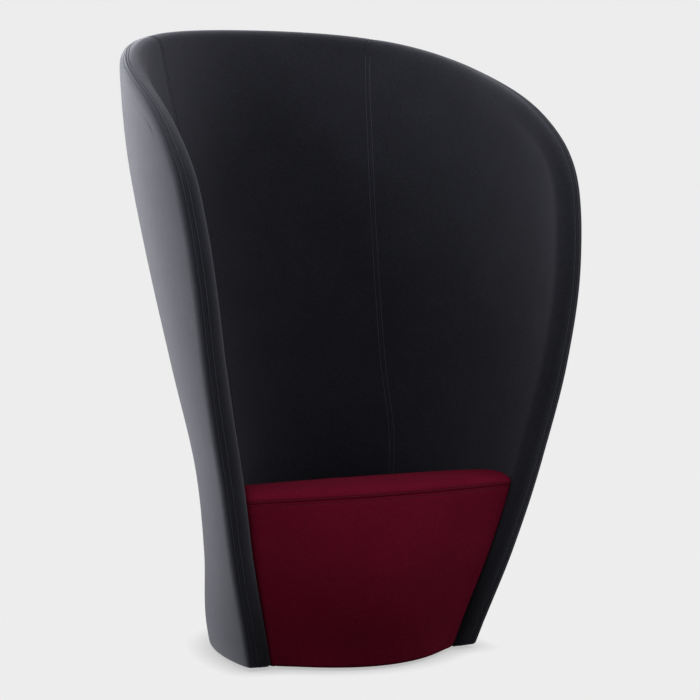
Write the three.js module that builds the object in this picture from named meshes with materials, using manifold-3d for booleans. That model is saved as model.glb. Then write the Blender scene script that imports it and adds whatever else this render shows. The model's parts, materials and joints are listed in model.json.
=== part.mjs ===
// A high-backed lounge chair: a wrap-around tulip shell over an upholstered seat block.
// Millimetres, +Z up. The sitter faces -Y, and the chair stands on the plane z = 0.
// The shell's wall is built in layers. From outside: cover, foam, steel frame, foam, cover.

import * as THREE from "three";
import { mergeVertices } from "three/addons/utils/BufferGeometryUtils.js";
import Module from "manifold-3d";

const wasm = await Module();
wasm.setup();

// Overall sizes. The shell's height counts from its hem.
const shellHeight = 1460;
const shellHalfWidth = 515;
const shellDepth = 870;
const floorGap = 6;

// Wall layers
const wallThickness = 58;
const coverThickness = 2;
const outerFoamThickness = 12;
const skinGap = 0.3;
const frameGap = 0.6;
const panelGap = 1.5;
const beadGap = 1.4;
const bandRoom = 2.4;

// Steel frame
const rimTubeRadius = 10;
const rimTubeBore = 8;
const uprightRadius = 8;
const uprightBore = 6;
const bandThickness = 4;
const bandWidth = 25;
const footPlateLength = 42;
const footPlateWidth = 15;
const footPlateThickness = 4;
const footPlateLip = 5;
const rimPlateLip = 0.5;
const boltRadius = 3;
const boltHeadRadius = 5.5;
const boltHeadHeight = 4;
const boltDepth = 12;

// Base board, its dust cover, and the glides that the chair stands on
const boardThickness = 15;
const boardRoom = 13;
const dustCoverThickness = 1;
const glideRadius = 18;
const glideEdge = 1.5;
const glideRecessRadius = 6;
const glideRecessDepth = 3;
const screwRadius = 2.2;
const screwHeadRadius = 4.5;
const screwHeadHeight = 2;
const screwBite = 11;

// Height up to which the rolled edge's section is squarer than a half circle
const noseSquareHeight = 250;

// Seat block. Its top falls towards the back by the rake.
const seamHeight = 397;
const crownRise = 33;
const crownReach = 105;
const crownGap = 0.7;
const seatFoamDepth = 88;
const seatRakeShare = 0.14;
const rakeSetback = 54;
const seatClearance = 2.5;
const seatFoamRoom = 1.8;
const frontFoamThickness = 18;
const frontBoardThickness = 12;
const frontBoardRoom = 5;
const frontBulgeAtFloor = 118;
const frontBulgeAtSeam = 35;
const frontLeadAtFloor = 16;
const frontLeadAtSeam = 5;
const gableThickness = 15;
const gableRoom = 5;

// Numerical steps: a small length for slopes, and an overrun for cuts
const slopeStep = 0.5;
const cutOverrun = 40;
const slopeTurn = slopeStep / shellHalfWidth;

// Steps of the searches by halving, of the tries for a sloping outline, and of the long curves' tables
const searchSteps = 40;
const rakeTries = 4;
const curveDivisions = 2000;

// Counts of facets
const rowCount = 12;
const sideColumnCount = 8;
const backColumnCount = 8;
const outerNoseSteps = 2;
const innerNoseSteps = 4;
const tubeSides = 6;
const wallRingCount = 18;
const frontRingCount = 10;
const frontRowCount = 6;
const roundSides = 12;

// The shell's plan is an ellipse at every height. Each column of these tables belongs to one height:
// half width, centre and back as shares of the half width and of the depth above.
const heightShares = [-0.035, 0.05, 0.17, 0.31, 0.465, 0.64, 0.79, 0.92, 1];
const halfWidthShares = [0.545, 0.62, 0.71, 0.8, 0.895, 0.97, 1, 0.95, 0.92];
const centreShares = [-0.02, -0.02, -0.125, -0.2, -0.19, -0.135, -0.055, 0.09, 0.14];
const backShares = [0.55, 0.485, 0.395, 0.37, 0.43, 0.525, 0.61, 0.69, 0.73];

// The free edge, along the middle of its rolled nose: height and forward place of the wing's front edge,
// then height and turn (a share of half a circle from the back) of the rim over the head.
const wingEdgeShares = [
  [-0.035, -0.04],
  [0.05, -0.085],
  [0.17, -0.14],
  [0.31, -0.19],
  [0.465, -0.225],
  [0.6, -0.235],
  [0.7, -0.21],
  [0.775, -0.155],
];
const rimShares = [
  [0.85, 0.505],
  [0.91, 0.405],
  [0.955, 0.26],
  [0.972, 0],
];

// The seam along the rolled nose, as a share of the half circle from the outer face to the inner one
const noseSeamShare = 0.36;
// What the nose's section adds, at the hem, to the exponent 2 of a circle
const noseSquarenessShare = 1.6;

// How far the rim tube's foot plates turn towards the back: the sine over the cosine of the angle.
const rimPlateSplay = 0.5;

// Where the seams between the three panels run: height, and turn as a share of half a circle.
const seamShares = [
  [-0.035, 0.215],
  [0.27, 0.208],
  [0.43, 0.181],
  [0.6, 0.177],
  [0.8, 0.19],
];
const rimSeamShare = 0.17;
const rimCornerShare = 0.4;
const bunchingShare = 1.12;

// The gables' front and back ends, as shares of the shell's depth
const gableFrontShare = -0.02;
const gableBackShare = 0.145;

// Heights of the two steel bands, as rows of the wall's grid
const waistRow = 4;
const shoulderRow = 9;

// The seat's crown: how far in from its outline, and how high, as shares of its reach and rise.
const crownShares = [
  [0, 0],
  [0.03, 0.3],
  [0.1, 0.58],
  [0.25, 0.82],
  [0.5, 0.94],
  [1, 1],
];
// The crown's highest point, as a share of the way from the origin to the shell's back
const crownPoleShare = 0.12;

// Five glides: sideways and back from the base's middle, as shares of the shell's half width and depth
const glideShares = [
  [-0.42, 0.0],
  [0.42, 0.0],
  [-0.33, 0.3],
  [0.33, 0.3],
  [0, -0.12],
];

// Depths into the wall, measured from its outer face
const outerFoamNear = coverThickness + skinGap;
const outerFoamFar = outerFoamNear + outerFoamThickness;
const rimTubeDepth = outerFoamFar + frameGap + rimTubeRadius;
const uprightDepth = outerFoamFar + frameGap + uprightRadius;
const bandDepth = uprightDepth + uprightRadius + frameGap + bandThickness / 2;
const innerFoamFar = bandDepth + bandThickness / 2 + bandRoom;

// Heights inside the base
const boardBottom = floorGap + dustCoverThickness + skinGap;
const boardTop = boardBottom + boardThickness;
const plateBottom = boardTop + skinGap;
const plateTop = plateBottom + footPlateThickness;
const innerHem = plateTop + boltHeadHeight + frameGap;
const seatBoardTop = seamHeight - seatFoamDepth;
const seatBoardBottom = seatBoardTop - boardThickness;
const frontStack = coverThickness + frontFoamThickness + frontBoardThickness + 2 * skinGap;

// Finishes
function finish(color, roughness, metalness = 0) {
  return new THREE.MeshStandardMaterial({ color, roughness, metalness });
}
const charcoalWool = finish(0x2b2b30, 0.95);
const burgundyWool = finish(0x5b0a1f, 0.95);
const foam = finish(0xd9cfa8, 0.9);
const steel = finish(0x54575c, 0.45, 0.9);
const zinc = finish(0xa9adb2, 0.4, 0.9);
const birchPly = finish(0xc8a877, 0.7);
const blackCloth = finish(0x17171a, 0.95);
const blackPlastic = finish(0x1c1c1e, 0.6);

const heightOf = (share) => floorGap + share * shellHeight;

// A smooth curve through a table of values at the heights above.
function tableAt(shares, height) {
  const share = (height - floorGap) / shellHeight;
  const last = heightShares.length - 1;
  let i = 0;
  while (i < last - 1 && share > heightShares[i + 1]) i += 1;
  const slopeAt = (k) => {
    const a = Math.max(k - 1, 0);
    const b = Math.min(k + 1, last);
    return (shares[b] - shares[a]) / (heightShares[b] - heightShares[a]);
  };
  const span = heightShares[i + 1] - heightShares[i];
  const t = (share - heightShares[i]) / span;
  const t2 = t * t;
  const t3 = t2 * t;
  const ends = (2 * t3 - 3 * t2 + 1) * shares[i] + (3 * t2 - 2 * t3) * shares[i + 1];
  const bends = (t3 - 2 * t2 + t) * slopeAt(i) + (t3 - t2) * slopeAt(i + 1);
  return ends + span * bends;
}

const halfWidthAt = (height) => shellHalfWidth * tableAt(halfWidthShares, height);
const centreAt = (height) => shellDepth * tableAt(centreShares, height);
const backAt = (height) => shellDepth * tableAt(backShares, height);

// The wall's outer face, by turn from the middle of the back and by height.
function wallPoint(turn, height) {
  const centre = centreAt(height);
  const x = halfWidthAt(height) * Math.sin(turn);
  const y = centre + (backAt(height) - centre) * Math.cos(turn);
  return new THREE.Vector3(x, y, height);
}

function wallNormal(turn, height) {
  const along = wallPoint(turn + slopeTurn, height).sub(wallPoint(turn - slopeTurn, height));
  const up = wallPoint(turn, height + slopeStep).sub(wallPoint(turn, height - slopeStep));
  return up.cross(along).normalize();
}

// The free edge as one smooth curve of turn and height, from the left foot over the head to the right.
function makeEdgeCurve() {
  const wing = wingEdgeShares.map(([heightShare, forwardShare]) => {
    const height = heightOf(heightShare);
    const centre = centreAt(height);
    const cosine = (forwardShare * shellDepth - centre) / (backAt(height) - centre);
    return new THREE.Vector2(Math.acos(cosine) * shellHalfWidth, height);
  });
  const rim = rimShares.map(([heightShare, turnShare]) => {
    return new THREE.Vector2(turnShare * Math.PI * shellHalfWidth, heightOf(heightShare));
  });
  const half = [...wing, ...rim];
  const other = half.slice(0, -1).map((p) => new THREE.Vector2(-p.x, p.y));
  const points = [...other, ...half.reverse()].map((p) => new THREE.Vector3(p.x, p.y, 0));
  const curve = new THREE.CatmullRomCurve3(points, false, "centripetal");
  curve.arcLengthDivisions = curveDivisions;
  return curve;
}
const edgeCurve = makeEdgeCurve();

// Turn and height on the free edge: 0 at the middle of the back, 1 at the right foot.
function edgePlace(share) {
  const p = edgeCurve.getPointAt(THREE.MathUtils.clamp((1 + share) / 2, 0, 1));
  return new THREE.Vector2(p.x / shellHalfWidth, p.y);
}

// The free edge is rolled to a half circle, so its radius is half the wall.
const noseRadius = wallThickness / 2;

// How far the nose's section reaches at an angle, as a share of a circle's radius: more so near the foot.
function noseReach(angle, height) {
  const low = THREE.MathUtils.clamp(1 - (height - floorGap) / noseSquareHeight, 0, 1);
  const exponent = 2 + noseSquarenessShare * low;
  const sum = Math.pow(Math.abs(Math.cos(angle)), exponent) + Math.pow(Math.abs(Math.sin(angle)), exponent);
  return Math.pow(sum, -1 / exponent);
}

// A frame on the free edge: the outer face, the way out of the face, and the way out past the edge.
function edgeFrame(share) {
  const place = edgePlace(share);
  const step = slopeStep / shellHeight;
  const before = edgePlace(Math.max(share - step, -1));
  const after = edgePlace(Math.min(share + step, 1));
  const tangent = wallPoint(after.x, after.y).sub(wallPoint(before.x, before.y)).normalize();
  const face = wallPoint(place.x, place.y);
  const out = wallNormal(place.x, place.y);
  const past = out.clone().cross(tangent).normalize().negate();
  const middle = face.clone().addScaledVector(out, -noseRadius);
  return { face, out, past, middle, height: place.y };
}

// The share of the edge curve at which the wing's front edge has a given height.
function edgeShareAtHeight(height) {
  let low = rimCornerShare;
  let high = 1;
  for (let i = 0; i < searchSteps; i += 1) {
    const middle = (low + high) / 2;
    if (edgePlace(middle).y > height) low = middle;
    else high = middle;
  }
  return low;
}

// The seam between a side panel and the middle panel, from foot (0) to rim (1).
const rimSeamPlace = edgePlace(rimSeamShare);
const seamCurve = new THREE.CatmullRomCurve3(
  [
    ...seamShares.map(([heightShare, turnShare]) => {
      return new THREE.Vector3(turnShare * Math.PI * shellHalfWidth, heightOf(heightShare), 0);
    }),
    new THREE.Vector3(rimSeamPlace.x * shellHalfWidth, rimSeamPlace.y, 0),
  ],
  false,
  "centripetal",
);

function seamPlace(row) {
  const p = seamCurve.getPointAt(row);
  return new THREE.Vector2(p.x / shellHalfWidth, p.y);
}

const footHeight = heightOf(heightShares[0]);
const topPlace = edgePlace(0);
const footEdgePlace = edgePlace(1);

// A patch of the wall between four border curves, blended between them.
function blendPatch(low, high, left, right, column, row) {
  const place = new THREE.Vector2();
  place.addScaledVector(low(column), 1 - row).addScaledVector(high(column), row);
  place.addScaledVector(left(row), 1 - column).addScaledVector(right(row), column);
  place.addScaledVector(low(0), -(1 - column) * (1 - row)).addScaledVector(low(1), -column * (1 - row));
  place.addScaledVector(high(0), -(1 - column) * row).addScaledVector(high(1), -column * row);
  return place;
}

const mix = (a, b, share) => a + (b - a) * share;

// Right side panel: column 0 on the seam and 1 on the wing's edge, row 0 at the foot and 1 on the rim.
function sidePlace(column, row) {
  const seamFoot = seamPlace(0);
  return blendPatch(
    (c) => new THREE.Vector2(mix(seamFoot.x, footEdgePlace.x, c), footHeight),
    (c) => edgePlace(mix(rimSeamShare, rimCornerShare, c)),
    seamPlace,
    (r) => edgePlace(mix(1, rimCornerShare, r)),
    column,
    row,
  );
}

// Right half of the back panel: column 0 on the middle line and 1 on the seam.
function backPlace(column, row) {
  const seamFoot = seamPlace(0);
  const place = blendPatch(
    (c) => new THREE.Vector2(mix(0, seamFoot.x, c), footHeight),
    (c) => edgePlace(mix(0, rimSeamShare, c)),
    (r) => new THREE.Vector2(0, mix(footHeight, topPlace.y, r)),
    seamPlace,
    Math.abs(column),
    row,
  );
  return column < 0 ? place.setX(-place.x) : place;
}

const bunched = (share) => 1 - Math.pow(1 - share, bunchingShare);
const countUp = (count) => Array.from({ length: count + 1 }, (_, i) => i / count);
const rowShares = countUp(rowCount).map(bunched);
const sideColumnShares = countUp(sideColumnCount).map(bunched);
const backColumnShares = countUp(backColumnCount).map((share) => 2 * share - 1);

// Solids from points and triangles, always with their faces pointing out.
function solidFrom(points, triangles) {
  let volume = 0;
  for (const [a, b, c] of triangles) {
    volume += points[a].dot(points[b].clone().cross(points[c]));
  }
  const turned = volume < 0 ? triangles.map(([a, b, c]) => [a, c, b]) : triangles;
  const geometry = new THREE.BufferGeometry();
  geometry.setAttribute(
    "position",
    new THREE.Float32BufferAttribute(
      points.flatMap((p) => [p.x, p.y, p.z]),
      3,
    ),
  );
  geometry.setIndex(turned.flat());
  return geometry;
}

function toManifold(geometry) {
  const plain = geometry.clone();
  plain.deleteAttribute("normal");
  plain.deleteAttribute("uv");
  const merged = mergeVertices(plain);
  return new wasm.Manifold(
    new wasm.Mesh({
      numProp: 3,
      vertProperties: new Float32Array(merged.attributes.position.array),
      triVerts: new Uint32Array(merged.index.array),
    }),
  );
}

function fromManifold(solid) {
  const mesh = solid.getMesh();
  const geometry = new THREE.BufferGeometry();
  geometry.setAttribute("position", new THREE.BufferAttribute(mesh.vertProperties, 3));
  geometry.setIndex(new THREE.BufferAttribute(mesh.triVerts, 1));
  return geometry;
}

// What lies between two levels.
function keepBetween(geometry, low, high) {
  const slab = new THREE.BoxGeometry(4 * shellHalfWidth, 4 * shellDepth, high - low);
  slab.translate(0, 0, (low + high) / 2);
  return fromManifold(toManifold(geometry).intersect(toManifold(slab)));
}

const keepAbove = (geometry, low) => keepBetween(geometry, low, shellHeight + cutOverrun);

function drilled(geometry, places, radius, low, high) {
  let solid = toManifold(geometry);
  for (const place of places) {
    const drill = new THREE.CylinderGeometry(radius, radius, high - low, roundSides);
    drill.rotateX(Math.PI / 2);
    drill.translate(place.x, place.y, (low + high) / 2);
    solid = solid.subtract(toManifold(drill));
  }
  return fromManifold(solid);
}

// Two triangles over four corners of a grid, split the other way on a mirrored side.
function splitCell(a, b, c, d, isMirrored) {
  return isMirrored
    ? [
        [a, b, c],
        [b, d, c],
      ]
    : [
        [a, b, d],
        [a, d, c],
      ];
}

// A skin is a sheet of points with their outward directions. Columns before the turn are mirrored.
function addGrid(skin, columns, rows, make, turnColumn = 0) {
  const first = skin.points.length;
  for (let j = 0; j < rows; j += 1) {
    for (let i = 0; i < columns; i += 1) {
      const { point, normal } = make(i, j);
      skin.points.push(point);
      skin.normals.push(normal);
    }
  }
  for (let j = 0; j < rows - 1; j += 1) {
    for (let i = 0; i < columns - 1; i += 1) {
      const a = first + j * columns + i;
      const b = a + 1;
      const c = a + columns;
      const d = c + 1;
      skin.triangles.push(...splitCell(a, b, c, d, i < turnColumn));
    }
  }
}

const emptySkin = () => ({ points: [], normals: [], triangles: [] });

// The wall's outer or inner face at a place.
function facePoint(place, inside) {
  const point = wallPoint(place.x, place.y);
  const normal = wallNormal(place.x, place.y);
  if (!inside) return { point, normal };
  point.addScaledVector(normal, -wallThickness);
  return { point, normal: normal.negate() };
}

// The angles round the nose of each cover's facets, from a cover's own face to the seam
const noseSeamAngle = Math.PI * noseSeamShare;
const noseGapAngle = skinGap / 2 / noseRadius;
const noseCovers = {
  outer: { steps: outerNoseSteps, from: 0, to: noseSeamAngle },
  inner: { steps: innerNoseSteps, from: Math.PI, to: noseSeamAngle },
};

function noseDirection(frame, angle) {
  return frame.out.clone().multiplyScalar(Math.cos(angle)).addScaledVector(frame.past, Math.sin(angle));
}

// The part of the nose that one cover goes round, beyond some shares of the edge
function addNose(skin, shares, inside) {
  const { steps, from, to } = inside ? noseCovers.inner : noseCovers.outer;
  const frames = shares.map(edgeFrame);
  const first = skin.points.length;
  const gap = Math.sign(to - from) * noseGapAngle;
  for (let k = 1; k <= steps; k += 1) {
    const angle = mix(from, to, k / steps) - (k === steps ? gap : 0);
    for (const frame of frames) {
      const normal = noseDirection(frame, angle);
      const radius = noseRadius * noseReach(angle, frame.height);
      skin.points.push(frame.middle.clone().addScaledVector(normal, radius));
      skin.normals.push(normal);
    }
  }
  return { first, steps, count: frames.length };
}

function joinNose(skin, border, nose, turnColumn = 0) {
  const at = (k, i) => (k === 0 ? border[i] : nose.first + (k - 1) * nose.count + i);
  for (let k = 0; k < nose.steps; k += 1) {
    for (let i = 0; i < nose.count - 1; i += 1) {
      const corners = [at(k, i), at(k, i + 1), at(k + 1, i), at(k + 1, i + 1)];
      skin.triangles.push(...splitCell(...corners, i < turnColumn));
    }
  }
}

// Half the seam's gap, as a share of a panel's width
const seamGapShare = panelGap / 2 / (shellHalfWidth * rimSeamPlace.x);

const trimmedSideColumns = [seamGapShare, ...sideColumnShares.slice(1)];
const trimmedBackColumns = backColumnShares.map((c) => c * (1 - seamGapShare));

// The edge shares of a side panel's border: along the rim to the corner, then down the wing.
function sideBorderShares() {
  const rim = trimmedSideColumns.map((c) => mix(rimSeamShare, rimCornerShare, c));
  const wing = [...rowShares].reverse().slice(1);
  return [...rim, ...wing.map((r) => mix(1, rimCornerShare, r))];
}

function backBorderShares() {
  return trimmedBackColumns.map((c) => c * rimSeamShare);
}

function sideSkin(inside, withNose) {
  const skin = emptySkin();
  const columns = trimmedSideColumns.length;
  const rows = rowShares.length;
  addGrid(skin, columns, rows, (i, j) => facePoint(sidePlace(trimmedSideColumns[i], rowShares[j]), inside));
  if (!withNose) return skin;
  const border = trimmedSideColumns.map((_, i) => (rows - 1) * columns + i);
  for (let j = rows - 2; j >= 0; j -= 1) border.push(j * columns + columns - 1);
  joinNose(skin, border, addNose(skin, sideBorderShares(), inside));
  return skin;
}

function backSkin(inside, withNose) {
  const skin = emptySkin();
  const columns = trimmedBackColumns.length;
  const rows = rowShares.length;
  const middle = backColumnCount / 2;
  const placeAt = (i, j) => backPlace(trimmedBackColumns[i], rowShares[j]);
  addGrid(skin, columns, rows, (i, j) => facePoint(placeAt(i, j), inside), middle);
  if (!withNose) return skin;
  const border = trimmedBackColumns.map((_, i) => (rows - 1) * columns + i);
  joinNose(skin, border, addNose(skin, backBorderShares(), inside), middle);
  return skin;
}

// A layer of a skin, between two depths below it.
function layer(skin, near, far) {
  const lift = (depth) => {
    return skin.points.map((point, i) => point.clone().addScaledVector(skin.normals[i], -depth));
  };
  const count = skin.points.length;
  const points = [...lift(near), ...lift(far)];
  const triangles = [...skin.triangles];
  const open = new Map();
  for (const [a, b, c] of skin.triangles) {
    triangles.push([a + count, c + count, b + count]);
    for (const [from, to] of [
      [a, b],
      [b, c],
      [c, a],
    ]) {
      if (!open.delete(to + "_" + from)) open.set(from + "_" + to, [from, to]);
    }
  }
  for (const [from, to] of open.values()) {
    triangles.push([from, to + count, to], [from, from + count, to + count]);
  }
  return solidFrom(points, triangles);
}

function mirrored(geometry) {
  const copy = geometry.clone().scale(-1, 1, 1);
  const order = copy.index.array;
  for (let i = 0; i < order.length; i += 3) {
    [order[i + 1], order[i + 2]] = [order[i + 2], order[i + 1]];
  }
  return copy;
}

// A solid skinned over closed rings of points. Poles close its ends to a point, and flat ends need none.
function loft(rings, poles = []) {
  const count = rings[0].length;
  const points = rings.flat();
  const triangles = [];
  for (let k = 0; k < rings.length - 1; k += 1) {
    for (let i = 0; i < count; i += 1) {
      const a = k * count + i;
      const b = k * count + ((i + 1) % count);
      triangles.push([a, b, b + count], [a, b + count, a + count]);
    }
  }
  const centreOf = (ring) => {
    const sum = ring.reduce((total, point) => total.add(point), new THREE.Vector3());
    return sum.divideScalar(ring.length);
  };
  const start = points.push(poles[0] ?? centreOf(rings[0])) - 1;
  const end = points.push(poles[1] ?? centreOf(rings[rings.length - 1])) - 1;
  const last = (rings.length - 1) * count;
  for (let i = 0; i < count; i += 1) {
    const next = (i + 1) % count;
    triangles.push([start, next, i], [end, last + i, last + next]);
  }
  return solidFrom(points, triangles);
}

// A circle of points round a station, which has two directions square to its path.
function circle(station, radius) {
  return Array.from({ length: tubeSides }, (_, i) => {
    const angle = (2 * Math.PI * i) / tubeSides;
    const point = station.at.clone().addScaledVector(station.across, radius * Math.cos(angle));
    return point.addScaledVector(station.out, radius * Math.sin(angle));
  });
}

// A round tube, open at both ends.
function tube(stations, radius, bore) {
  const outer = stations.flatMap((station) => circle(station, radius));
  const inner = stations.flatMap((station) => circle(station, bore));
  const points = [...outer, ...inner];
  const offset = outer.length;
  const triangles = [];
  for (let i = 0; i < tubeSides; i += 1) {
    const j = (i + 1) % tubeSides;
    for (let k = 0; k < stations.length - 1; k += 1) {
      const low = k * tubeSides;
      const high = low + tubeSides;
      triangles.push([low + i, low + j, high + j], [low + i, high + j, high + i]);
      triangles.push([offset + low + i, offset + high + j, offset + low + j]);
      triangles.push([offset + low + i, offset + high + i, offset + high + j]);
    }
    const end = offset - tubeSides;
    triangles.push([i, offset + i, offset + j], [i, offset + j, j]);
    triangles.push([end + i, offset + end + j, offset + end + i], [end + i, end + j, offset + end + j]);
  }
  return solidFrom(points, triangles);
}

// Stations of a member that lies in the wall at one depth, through places of turn and height.
function wallStations(places, depth) {
  const centres = places.map((place) => {
    return wallPoint(place.x, place.y).addScaledVector(wallNormal(place.x, place.y), -depth);
  });
  return places.map((place, i) => {
    const before = centres[Math.max(i - 1, 0)];
    const after = centres[Math.min(i + 1, centres.length - 1)];
    const along = after.clone().sub(before).normalize();
    const out = wallNormal(place.x, place.y);
    const across = out.clone().cross(along).normalize();
    return { at: centres[i], out, across };
  });
}

// Draws the last station back along the path by a length.
function shortenEnd(stations, length) {
  const last = stations[stations.length - 1];
  const before = stations[stations.length - 2].at;
  const back = before.clone().sub(last.at);
  last.at.addScaledVector(back.normalize(), length);
}

// All edge shares from the left foot to the right
function allEdgeShares() {
  const right = [...backBorderShares().filter((share) => share > 0), ...sideBorderShares()];
  return [...right.map((share) => -share).reverse(), 0, ...right];
}

// The rim tube runs just inside the free edge.
const rimTubeSetback = rimTubeRadius + beadGap;

function rimStation(frame) {
  const at = frame.face.clone().addScaledVector(frame.out, -rimTubeDepth);
  at.addScaledVector(frame.past, -rimTubeSetback);
  return { at, out: frame.out, across: frame.past };
}

function rimStations() {
  return allEdgeShares().map((share) => rimStation(edgeFrame(share)));
}

function rimHoop() {
  return keepAbove(tube(rimStations(), rimTubeRadius, rimTubeBore), plateTop + skinGap);
}

// A member's ends, coped to fit round the rim tube with a gap. What is left beyond the tube is waste.
function coped(geometry) {
  const rod = loft(rimStations().map((station) => circle(station, rimTubeRadius + frameGap)));
  const pieces = toManifold(geometry).subtract(toManifold(rod)).decompose();
  pieces.sort((a, b) => b.volume() - a.volume());
  return fromManifold(pieces[0]);
}

// Uprights stand on the seams and halfway along the side panels.
const sideUprightColumn = sideColumnShares[Math.floor(sideColumnCount / 2)];
const uprightColumns = {
  back: (row) => backPlace(1, row),
  side: (row) => sidePlace(sideUprightColumn, row),
};

function upright(kind) {
  const stations = wallStations(rowShares.map(uprightColumns[kind]), uprightDepth);
  shortenEnd(stations, rimTubeSetback);
  return keepAbove(coped(tube(stations, uprightRadius, uprightBore)), plateTop + skinGap);
}

// A steel band round the inside of the uprights, from rim tube to rim tube.
function band(row) {
  const right = [
    ...backColumnShares.filter((c) => c >= 0).map((c) => backPlace(c, rowShares[row])),
    ...sideColumnShares.slice(1).map((c) => sidePlace(c, rowShares[row])),
  ];
  const left = right.slice(1).map((place) => new THREE.Vector2(-place.x, place.y));
  const stations = wallStations([...left.reverse(), ...right], bandDepth);
  shortenEnd(stations, rimTubeSetback);
  stations.reverse();
  shortenEnd(stations, rimTubeSetback);
  const corners = [
    [-1, -1],
    [1, -1],
    [1, 1],
    [-1, 1],
  ];
  const rings = stations.map((station) =>
    corners.map(([side, face]) => {
      const point = station.at.clone().addScaledVector(station.across, (side * bandWidth) / 2);
      return point.addScaledVector(station.out, (face * bandThickness) / 2);
    }),
  );
  return coped(loft(rings));
}

// The foam bead that fills the rolled nose of the edge, in a right half. Its facets follow the covers'.
function edgeBead() {
  const startShare = skinGap / 2 / shellHeight;
  const shares = allEdgeShares().filter((share) => share > 0);
  const { outer, inner } = noseCovers;
  const angles = [
    ...countUp(outer.steps).map((share) => mix(outer.from, outer.to, share)),
    ...countUp(inner.steps).slice(1).map((share) => mix(inner.to, inner.from, share)),
  ];
  const radius = noseRadius - coverThickness - beadGap;
  const rings = [startShare, ...shares].map((share) => {
    const frame = edgeFrame(share);
    return angles.map((angle) => {
      const reach = radius * noseReach(angle, frame.height);
      const point = frame.middle.clone().addScaledVector(frame.out, reach * Math.cos(angle));
      return point.addScaledVector(frame.past, Math.max(beadGap, reach * Math.sin(angle)));
    });
  });
  return keepAbove(loft(rings), floorGap);
}

// A place on a level outline that runs inside the wall at a depth from its outer face.
function levelPlace(turn, height, depth) {
  const normal = wallNormal(turn, height);
  const level = Math.hypot(normal.x, normal.y);
  const point = wallPoint(turn, height);
  point.addScaledVector(new THREE.Vector3(normal.x, normal.y, 0), -depth / (level * level));
  return point;
}

// Forward place of the seat block's front corners at a height.
function frontCornerPlace(height) {
  const share = THREE.MathUtils.clamp(height / seamHeight, 0, 1);
  const level = THREE.MathUtils.clamp(height, 0, seamHeight);
  const edge = edgeFrame(edgeShareAtHeight(level));
  return edge.middle.y - mix(frontLeadAtFloor, frontLeadAtSeam, share);
}

function frontBulge(height) {
  const share = THREE.MathUtils.clamp(height / seamHeight, 0, 1);
  return mix(frontBulgeAtFloor, frontBulgeAtSeam, share);
}

// The turn at which a level outline reaches a forward place.
function turnAtForward(forward, height, depth) {
  let low = 0;
  let high = Math.PI;
  for (let i = 0; i < searchSteps; i += 1) {
    const middle = (low + high) / 2;
    if (levelPlace(middle, height, depth).y > forward) low = middle;
    else high = middle;
  }
  return low;
}

// The seat falls towards the back, from behind its front panel on.
const rakeStart = frontCornerPlace(seamHeight) + rakeSetback;
const rakedHeight = (height, y) => height - seatRakeShare * Math.max(0, y - rakeStart);

// The seat board is flat, so it has the same rake all over.
const boardHeight = (height, y) => height - seatRakeShare * (y - rakeStart);

// A place on a sloping outline at a turn. Each try takes the outline at the height that the last one gave.
function slopingPlace(turn, height, depth, heightAt) {
  let place = levelPlace(turn, height, depth);
  for (let i = 0; i < rakeTries; i += 1) place = levelPlace(turn, heightAt(height, place.y), depth);
  return place;
}

// The seat block's sloping outline, drawn in from the wall by one length and from the front by another.
function seatRing(height, wallInset, frontInset, heightAt = rakedHeight) {
  const depth = wallThickness + wallInset;
  const forward = frontCornerPlace(height) + frontInset;
  const turn = turnAtForward(forward, height, depth);
  const corner = slopingPlace(turn, height, depth, heightAt);
  const ring = [];
  for (let i = 0; i <= wallRingCount; i += 1) {
    ring.push(slopingPlace(turn * (1 - (2 * i) / wallRingCount), height, depth, heightAt));
  }
  for (let i = 1; i < frontRingCount; i += 1) {
    const across = (2 * i) / frontRingCount - 1;
    const y = corner.y - frontBulge(height) * (1 - across * across);
    ring.push(new THREE.Vector3(corner.x * across, y, heightAt(height, y)));
  }
  return ring;
}

// The skin of the front panel, wider than it is kept, so that flat cuts can trim it.
function frontSkin() {
  const low = footHeight;
  const high = seamHeight + cutOverrun;
  const pointAt = (across, height) => {
    const depth = wallThickness + seatClearance;
    const forward = frontCornerPlace(height);
    const corner = levelPlace(turnAtForward(forward, height, depth), height, depth);
    const y = forward - frontBulge(height) * (1 - across * across);
    return new THREE.Vector3(corner.x * across, y, height);
  };
  const skin = emptySkin();
  addGrid(skin, frontRingCount + 1, frontRowCount + 1, (i, j) => {
    const across = (2 * i) / frontRingCount - 1;
    const height = mix(low, high, j / frontRowCount);
    const point = pointAt(across, height);
    const side = pointAt(across + slopeTurn, height).sub(pointAt(across - slopeTurn, height));
    const up = pointAt(across, height + slopeStep).sub(pointAt(across, height - slopeStep));
    return { point, normal: side.cross(up).normalize() };
  });
  return skin;
}

// Rings over the seat's crown, a length below its surface. The lowest one is lifted off the seam.
function crownRings(below, lift = 0) {
  return crownShares.map(([inShare, upShare]) => {
    const inset = inShare * crownReach + below;
    const rise = Math.max(lift, upShare * crownRise - below);
    return seatRing(seamHeight + crownGap + rise, seatClearance + inset, inset);
  });
}

function crownPole(below) {
  const middle = shellDepth * backShares[1] * crownPoleShare;
  const height = rakedHeight(seamHeight + crownGap + crownRise, middle);
  return new THREE.Vector3(0, middle, height - below);
}

function seatCover() {
  const outside = crownRings(0);
  const inside = crownRings(coverThickness);
  return loft([...inside.reverse(), ...outside], [crownPole(coverThickness), crownPole(0)]);
}

function seatFoam() {
  const below = coverThickness + seatFoamRoom;
  const innerFront = frontStack + frontBoardRoom;
  const lowWall = seatClearance + 2 * below;
  const rings = [
    seatRing(seatBoardTop + skinGap, lowWall, innerFront, boardHeight),
    seatRing(seamHeight + seatFoamRoom, lowWall, innerFront),
    ...crownRings(below, seatFoamRoom),
  ];
  return loft(rings, [undefined, crownPole(below)]);
}

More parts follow.
